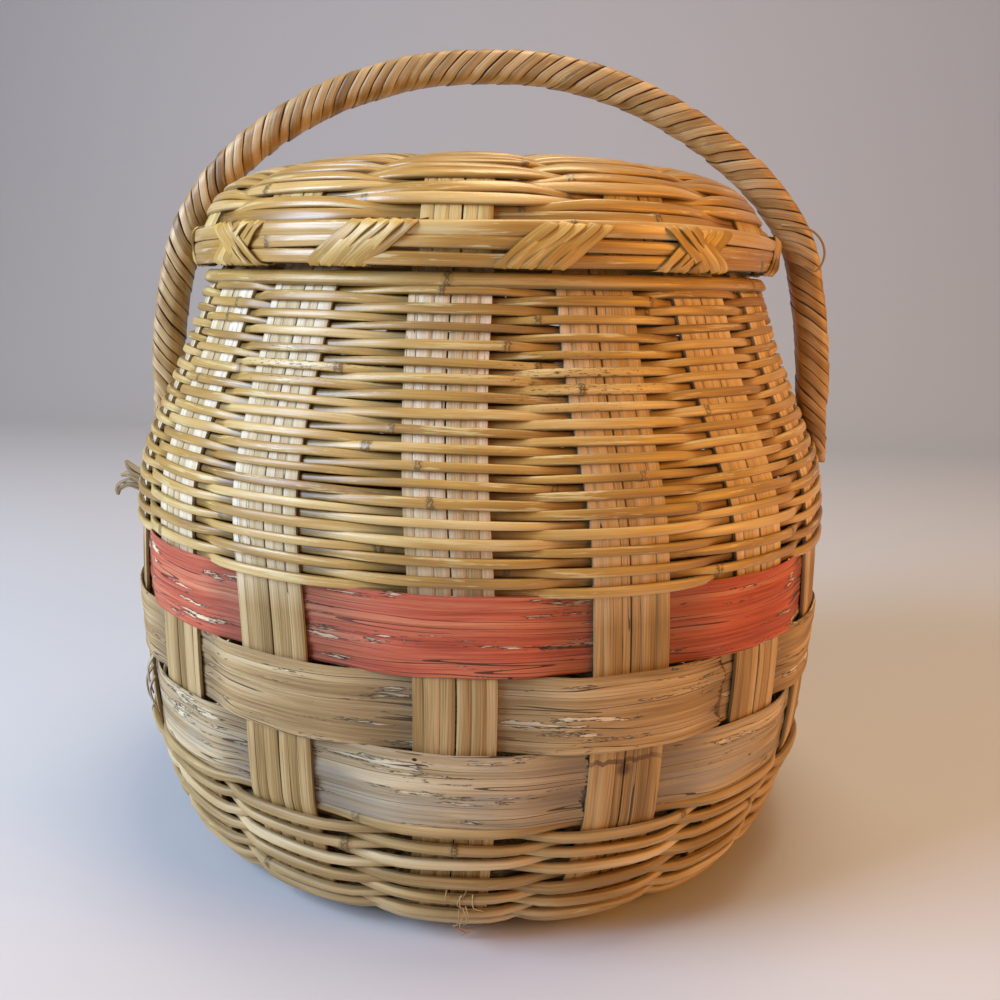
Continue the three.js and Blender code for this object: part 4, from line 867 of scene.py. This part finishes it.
def lashing(number):
    """Turns of cane peel over the rim, leaning to the right as they go up."""
    piece = Piece(f"rim_peel_{number + 1:02d}")
    dice = luck(number, 17)
    middle = (number + 0.5) * lid.step + CROSSED.get(number, 0.0)
    t = np.linspace(0, 1, LASH_RINGS)
    phase = 2 * math.pi * t + math.pi * 1.25
    x, z = squared(np.cos(phase), LASH_SQUARENESS), squared(np.sin(phase), LASH_SQUARENESS)
    front = x > 0
    high = (lash_low + lash_high) / 2 + z * (lash_high - lash_low) / 2
    going = (high - lash_low) / (lash_high - lash_low)
    for count, way in CROSSED_TURNS if number in CROSSED else ((LASH_LOOPS, 1),):
        over = CROSSED_STANDS_OFF if way < 0 else 0.0
        for nth in range(count):
            lean = dice.uniform(*PEEL_LEAN) * way
            r = (lash_out + lash_in) / 2 + x * (lash_out - lash_in) / 2 + over * front + 0.3 * (nth % 2)
            shift = (nth - count / 2 + 0.5) * PEEL_PITCH - lean / 2
            wind = shift + lean * going + np.where(front, 0, PEEL_PITCH * t) + dice.uniform(-0.5, 0.5)
            wind = wind + 0.5 * np.sin(going * math.pi * 2 + dice.uniform(0, 6)) * front
            angle = middle + wind / lid_radius
            at = np.stack([r * np.cos(angle), r * np.sin(angle), high], -1)
            facing = np.stack([x * np.cos(angle), x * np.sin(angle), z * 0.8], -1)
            slope = abs(lean) / (lash_high - lash_low)
            wide = PEEL_PITCH / math.hypot(1, slope) * dice.uniform(1.4, 1.6)
            # The inner half of each loop, inside the lid, carries painted shade
            sweep(piece, at, facing, FLAT_STRIP, wide, PEEL_THICK, dice.uniform(-1, 1),
                  np.where(front, 0.0, 0.5), dice.uniform(0, 900))
    return piece


for number in range(LID_STAKES):
    lashing(number).finish("lid", "lashing_strip", peel, [f"rim_lashing_{number + 1:02d}"], crease=55)

# Handle: its line runs from the tip of one foot over the top to the tip of the other
core_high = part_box("handle_core")[1]
handle_span = core_high.x / MM - CORE_THICK / 2
handle_top = core_high.z / MM - CORE_THICK / 2
FOOT_POINTS = [(180.2, 193), (178.2, 206), (175.4, 221)]
# The right half of the arch leans inwards: height, and how far in
LEAN_INWARDS = [221, 250, 306, 350, 372, 398], [0, 1.2, 1.2, 6, 5.5, 0]
half = FOOT_POINTS + [(x * handle_span, HANDLE_FOOT + z * (handle_top - HANDLE_FOOT)) for x, z in ARCH_SHARES]
leaned = [(x - np.interp(z, *LEAN_INWARDS), z) for x, z in half]
arch, arch_length = smooth_line([*leaned, *[(-x, z) for x, z in reversed(half[:-1])]])
arch_slope = np.gradient(arch, arch_length, axis=0)
arch_slope /= np.linalg.norm(arch_slope, axis=1)[:, None]
arch_end = arch_length[-1]
# Both feet are pared to a wedge over this length, down to a share of the handle's thickness
FOOT_LENGTH, FOOT_THIN, FOOT_SET_OUT = 36, 0.22, 2.2


def on_arch(s, deep, side):
    """Points by length along the handle, height off its middle line and place across it."""
    s, deep, side = np.broadcast_arrays(s, deep, side)
    x, z, tx, tz = (np.interp(s, arch_length, c) for c in (*arch.T, *arch_slope.T))
    return np.stack([x + deep * tz, side, z - deep * tx], -1)


def arch_way(s):
    """Which way the handle runs at each length along it, and which way its outer face looks."""
    tx, tz = (np.interp(s, arch_length, c) for c in arch_slope.T)
    return np.stack([tx, 0 * tx, tz], -1), np.stack([tz, 0 * tz, -tx], -1)


def foot_share(s):
    """How far up its feet the handle is: nothing at both tips, one where it has its full thickness."""
    return np.clip(np.minimum(s, arch_end - s) / FOOT_LENGTH, 0, 1)


# The core's three slats, each with its place off the middle line, its thickness and its share of the width
CORE_SLATS = (-4.3, 3.7, 0.94), (-0.2, 4.1, 1.0), (4.1, 3.8, 0.92)
CORE_INSET, CORE_RINGS = 13, 190
TONGUE_WIDTH, TONGUE_THICK, TONGUE_RINGS = 14, 2.0, 24
core = Piece("handle_slats")
for n, (deep, thick, narrow) in enumerate(CORE_SLATS):
    s = np.linspace(CORE_INSET, arch_end - CORE_INSET, CORE_RINGS)
    share = FOOT_THIN + (1 - FOOT_THIN) * foot_share(s)
    sweep(core, on_arch(s, deep * share + FOOT_SET_OUT * (1 - share), 0.0), arch_way(s)[1], FLAT_STRIP,
          CORE_WIDTH * narrow * (0.55 + 0.45 * share), thick * share, (n - 1) * 0.6, start=n * 700)
for mirror in (1.0, -1.0):
    s = np.linspace(entry_at - TANG_LENGTH, entry_at + TANG_LENGTH / 2, TONGUE_RINGS)
    drawn_out = np.clip((s - entry_at + 1) / 5, 0, 1) * (UPPER_DEPTH + 2.5)
    tongue = body.place(0.0, s, SLAT / 2 + CLEAR + TONGUE_THICK / 2 + drawn_out)
    tongue[:, 0] *= mirror
    sweep(core, tongue, np.tile([mirror, 0, 0], (TONGUE_RINGS, 1)), FLAT_STRIP,
          TONGUE_WIDTH * np.clip((s - s[0]) / 8 + 0.5, 0, 1), TONGUE_THICK, 0.5)
core.finish("basket", "handle_wood", core_wood, ["handle_core"], crease=45)

# The winding: turns of six strands side by side, with a gap before the next turn
WRAP_TURNS, WRAP_STRANDS, WRAP_GAP, WRAP_THICK = 14, 6, 2.4, 1.1
WRAP_RINGS_A_TURN, WRAP_END = 36, 2.5
WRAP_SQUARENESS, WRAP_STANDS_OFF, WRAP_FIRST = 0.62, 0.9, 0.12
wrap = Piece("handle_winding")
dice = luck(91, 5)
t = np.linspace(0, 2 * math.pi, 721)
outline = np.stack([squared(np.cos(t), WRAP_SQUARENESS) * (CORE_THICK / 2 + WRAP_STANDS_OFF),
                    squared(np.sin(t), WRAP_SQUARENESS) * (CORE_WIDTH / 2 + WRAP_STANDS_OFF)], -1)
round_at = lengths_along(outline)
turns_at = np.linspace(-1, WRAP_TURNS + 1, (WRAP_TURNS + 2) * WRAP_RINGS_A_TURN + 1)
place = np.mod(WRAP_FIRST - turns_at, 1) * round_at[-1]
width = ((arch_end - 8) / WRAP_TURNS - WRAP_GAP) / WRAP_STRANDS
for strand in range(WRAP_STRANDS):
    s = 3 + width * (strand + 0.5) + (arch_end - 6 - width * WRAP_STRANDS) * turns_at / WRAP_TURNS
    s = s + 0.3 * drift(turns_at, 90 + strand, (1, 2, 3)) + 1.2 * drift(turns_at, 97, (1, 3))
    s = np.clip(s, WRAP_END, arch_end - WRAP_END)
    s = s + 1.6 * np.sin(4 * math.pi * (WRAP_FIRST - turns_at)) * foot_share(s)
    deep, side = (np.interp(place, round_at, column) for column in outline.T)
    share = FOOT_THIN + (1 - FOOT_THIN) * foot_share(s)
    raised = 1 + 0.04 * drift(turns_at, 60 + strand, (1, 2)) + 0.03 * (strand % 2)
    at = on_arch(s, deep * raised * share + FOOT_SET_OUT * (1 - share), side * raised * (0.5 + 0.5 * share))
    along, outwards = arch_way(s)
    facing_out = squared(deep / np.abs(outline[:, 0]).max(), 2.2)[:, None]
    facing_side = squared(side / np.abs(outline[:, 1]).max(), 2.2)[:, None]
    ahead = np.gradient(at, axis=0)
    ahead /= np.linalg.norm(ahead, axis=1)[:, None]
    slant = np.sqrt(np.clip(1 - (ahead * along).sum(1) ** 2, 0.2, 1))
    size = width * slant * (0.97 + 0.05 * drift(turns_at, 80 + strand, (1, 2, 5)))
    sweep(wrap, at, outwards * facing_out + np.array([0, 1.0, 0]) * facing_side, FLAT_STRIP, size, WRAP_THICK,
          dice.uniform(-1, 1), start=strand * 911)
wrap.finish("basket", "handle_strip", winding, ["handle_wrap"], crease=55)


# Loose ends: a frayed strip at the left, a curl of peel at the handle, hair fibres low at the front and
# splinters of the lowest wide hoop. Each has the points of its line and which way it faces
def loose(name, lines, width, thick, slot, material):
    """Thin strips of one kind, each tapering to its end."""
    piece = Piece(name)
    for n, (line, face) in enumerate(lines):
        at = smooth_line(line, 8)[0]
        size = width * np.interp(np.linspace(0, 1, len(at)), [0, 0.7, 1], [1, 0.85, 0.35])
        sweep(piece, at, np.tile([float(x) for x in face], (len(at), 1)), FLAT_STRIP, size, thick,
              0.4 * (-1) ** n, 0.2, 37 * n)
    piece.finish("basket", slot, material, crease=55)


loose("loose_strip_end", [
    ([(-168, -40, 172), (-175, -42, 175), (-182, -43, 179), (-187, -43, 178)], (0.2, -1, 0.5)),
    ([(-168, -40, 170), (-176, -42, 172), (-183, -43, 174), (-189, -42, 171), (-190, -42, 167)],
     (0.2, -1, 0.2)),
    ([(-169, -40, 175), (-176, -42, 179), (-182, -43, 183), (-184, -43, 186)], (0.3, -1, 0.3)),
], 5.2, 0.9, "natural_band", weathered)
loose("loose_peel_curl", [
    ([(150, -10, 313), (157.5, -12, 312), (165, -12.5, 310), (170.5, -12.6, 304), (171.8, -12.4, 296.9),
      (168.5, -12, 290.6), (163, -11, 293)], (0, -1, 0.3)),
], 1.2, 0.5, "handle_strip", winding)
dice = luck(33, 4)
fibres = []
for n in range(9):
    x, z = dice.uniform(3, 15), dice.uniform(20, 34)
    line = [(x, -166 - dice.uniform(1, 3), z), (x + dice.uniform(-3, 5), -167 - dice.uniform(0, 3), z - 6),
            (x + dice.uniform(-3, 8), -160, max(z - 13, 2.5)),
            (x + dice.uniform(-3, 10), -156, max(z - 19, 1.2))]
    fibres.append((line, (0, -1, 0.2)))
loose("loose_fibres_front", fibres, 0.45, 0.35, "round_rod", round_rattan)
loose("loose_splinters_left", [
    ([(-152, -93, 98), (-154.5, -94.5, 92), (-154, -94.5, 84), (-152.5, -94, 78)], (-0.8, -0.6, 0)),
    ([(-153, -91, 92), (-156, -92.5, 86), (-156, -92, 78), (-153.5, -92, 72)], (-0.8, -0.6, 0)),
    ([(-151, -95, 88), (-153, -96.5, 82), (-152.5, -96, 76), (-150.5, -95, 71)], (-0.8, -0.6, 0)),
], 2.6, 0.7, "natural_band", weathered)

# Floor and backdrop: one pale sheet that curves up behind
FLOOR_HALF_SIZE, FLOOR_FORWARD, BACK_HEIGHT, BACK_CURVE = (4.0, 2.4), 0.4, 3.0, 0.7
floor = bpy.data.meshes.new("studio_floor")
form = bmesh.new()
bmesh.ops.create_grid(form, x_segments=1, y_segments=1, size=1.0,
                      matrix=Matrix.Diagonal((*FLOOR_HALF_SIZE, 1, 1)))
bmesh.ops.translate(form, verts=form.verts, vec=(0, -FLOOR_FORWARD, 0))
back = [e for e in form.edges if all(v.co.y > 0 for v in e.verts)]
risen = bmesh.ops.extrude_edge_only(form, edges=back)["geom"]
bmesh.ops.translate(form, verts=[g for g in risen if isinstance(g, bmesh.types.BMVert)],
                    vec=(0, 0, BACK_HEIGHT))
bmesh.ops.bevel(form, geom=back, offset=BACK_CURVE, offset_type="OFFSET", segments=16, profile=0.5,
                affect="EDGES", material=-1)
form.to_mesh(floor)
form.free()
floor.shade_smooth()
sheet = bpy.data.objects.new("studio_floor", floor)
bpy.context.scene.collection.objects.link(sheet)
# Matt paper: no sheen, so the floor shows only the soft shadow
paper = bpy.data.materials.new("matt_paper_pale_grey")
paper.use_nodes = True
paper.node_tree.nodes["Principled BSDF"].inputs["Base Color"].default_value = linear("#c9ccd2")
paper.node_tree.nodes["Principled BSDF"].inputs["Roughness"].default_value = 0.9
floor.materials.append(paper)


# Soft studio light: a cool window side on the left, a warm fill on the right
def lamp(name, place, size, power, colour):
    """A soft rectangular light that looks at the middle of the basket."""
    light = bpy.data.lights.new(name, "AREA")
    light.shape = "RECTANGLE"
    light.size, light.size_y = size
    light.energy = power
    light.color = linear(colour)[:3]
    holder = bpy.data.objects.new(name, light)
    holder.location = place
    holder.rotation_euler = (Vector((0, 0, 0.2)) - Vector(place)).to_track_quat("-Z", "Y").to_euler()
    bpy.context.scene.collection.objects.link(holder)


lamp("window_left", (-1.35, -0.75, 0.95), (0.8, 1.1), 41, "#d0e2ff")
lamp("fill_right", (1.5, -0.55, 0.7), (0.9, 0.9), 16.5, "#ffa00c")
lamp("overhead", (0.2, 0.1, 1.9), (1.0, 0.8), 17, "#ffe9c4")
world = bpy.data.worlds.new("studio")
world.use_nodes = True
world.node_tree.nodes["Background"].inputs["Color"].default_value = linear("#ece5d8")
world.node_tree.nodes["Background"].inputs["Strength"].default_value = 0.22
bpy.context.scene.world = world

# Camera: 0.55 m in front of the basket, level with the lid's rim, looking down a little and slightly rolled
CAMERA_PLACE = 0.041, -0.544, 0.282
LOOK_ASIDE, LOOK_DOWN, CAMERA_ROLL = -0.105, math.radians(12), math.radians(1.1)
camera = bpy.data.cameras.new("camera")
camera.lens, camera.sensor_width = 36, 36
camera.shift_x, camera.shift_y = 0.052, -0.006
holder = bpy.data.objects.new("camera", camera)
look = Vector((LOOK_ASIDE, 0.9945, -math.tan(LOOK_DOWN))).normalized()
turn = look.to_track_quat("-Z", "Y").to_matrix() @ Matrix.Rotation(CAMERA_ROLL, 3, "Z")
holder.matrix_world = Matrix.Translation(CAMERA_PLACE) @ turn.to_4x4()
bpy.context.scene.collection.objects.link(holder)
bpy.context.scene.camera = holder

bpy.context.scene.view_settings.view_transform = "Standard"
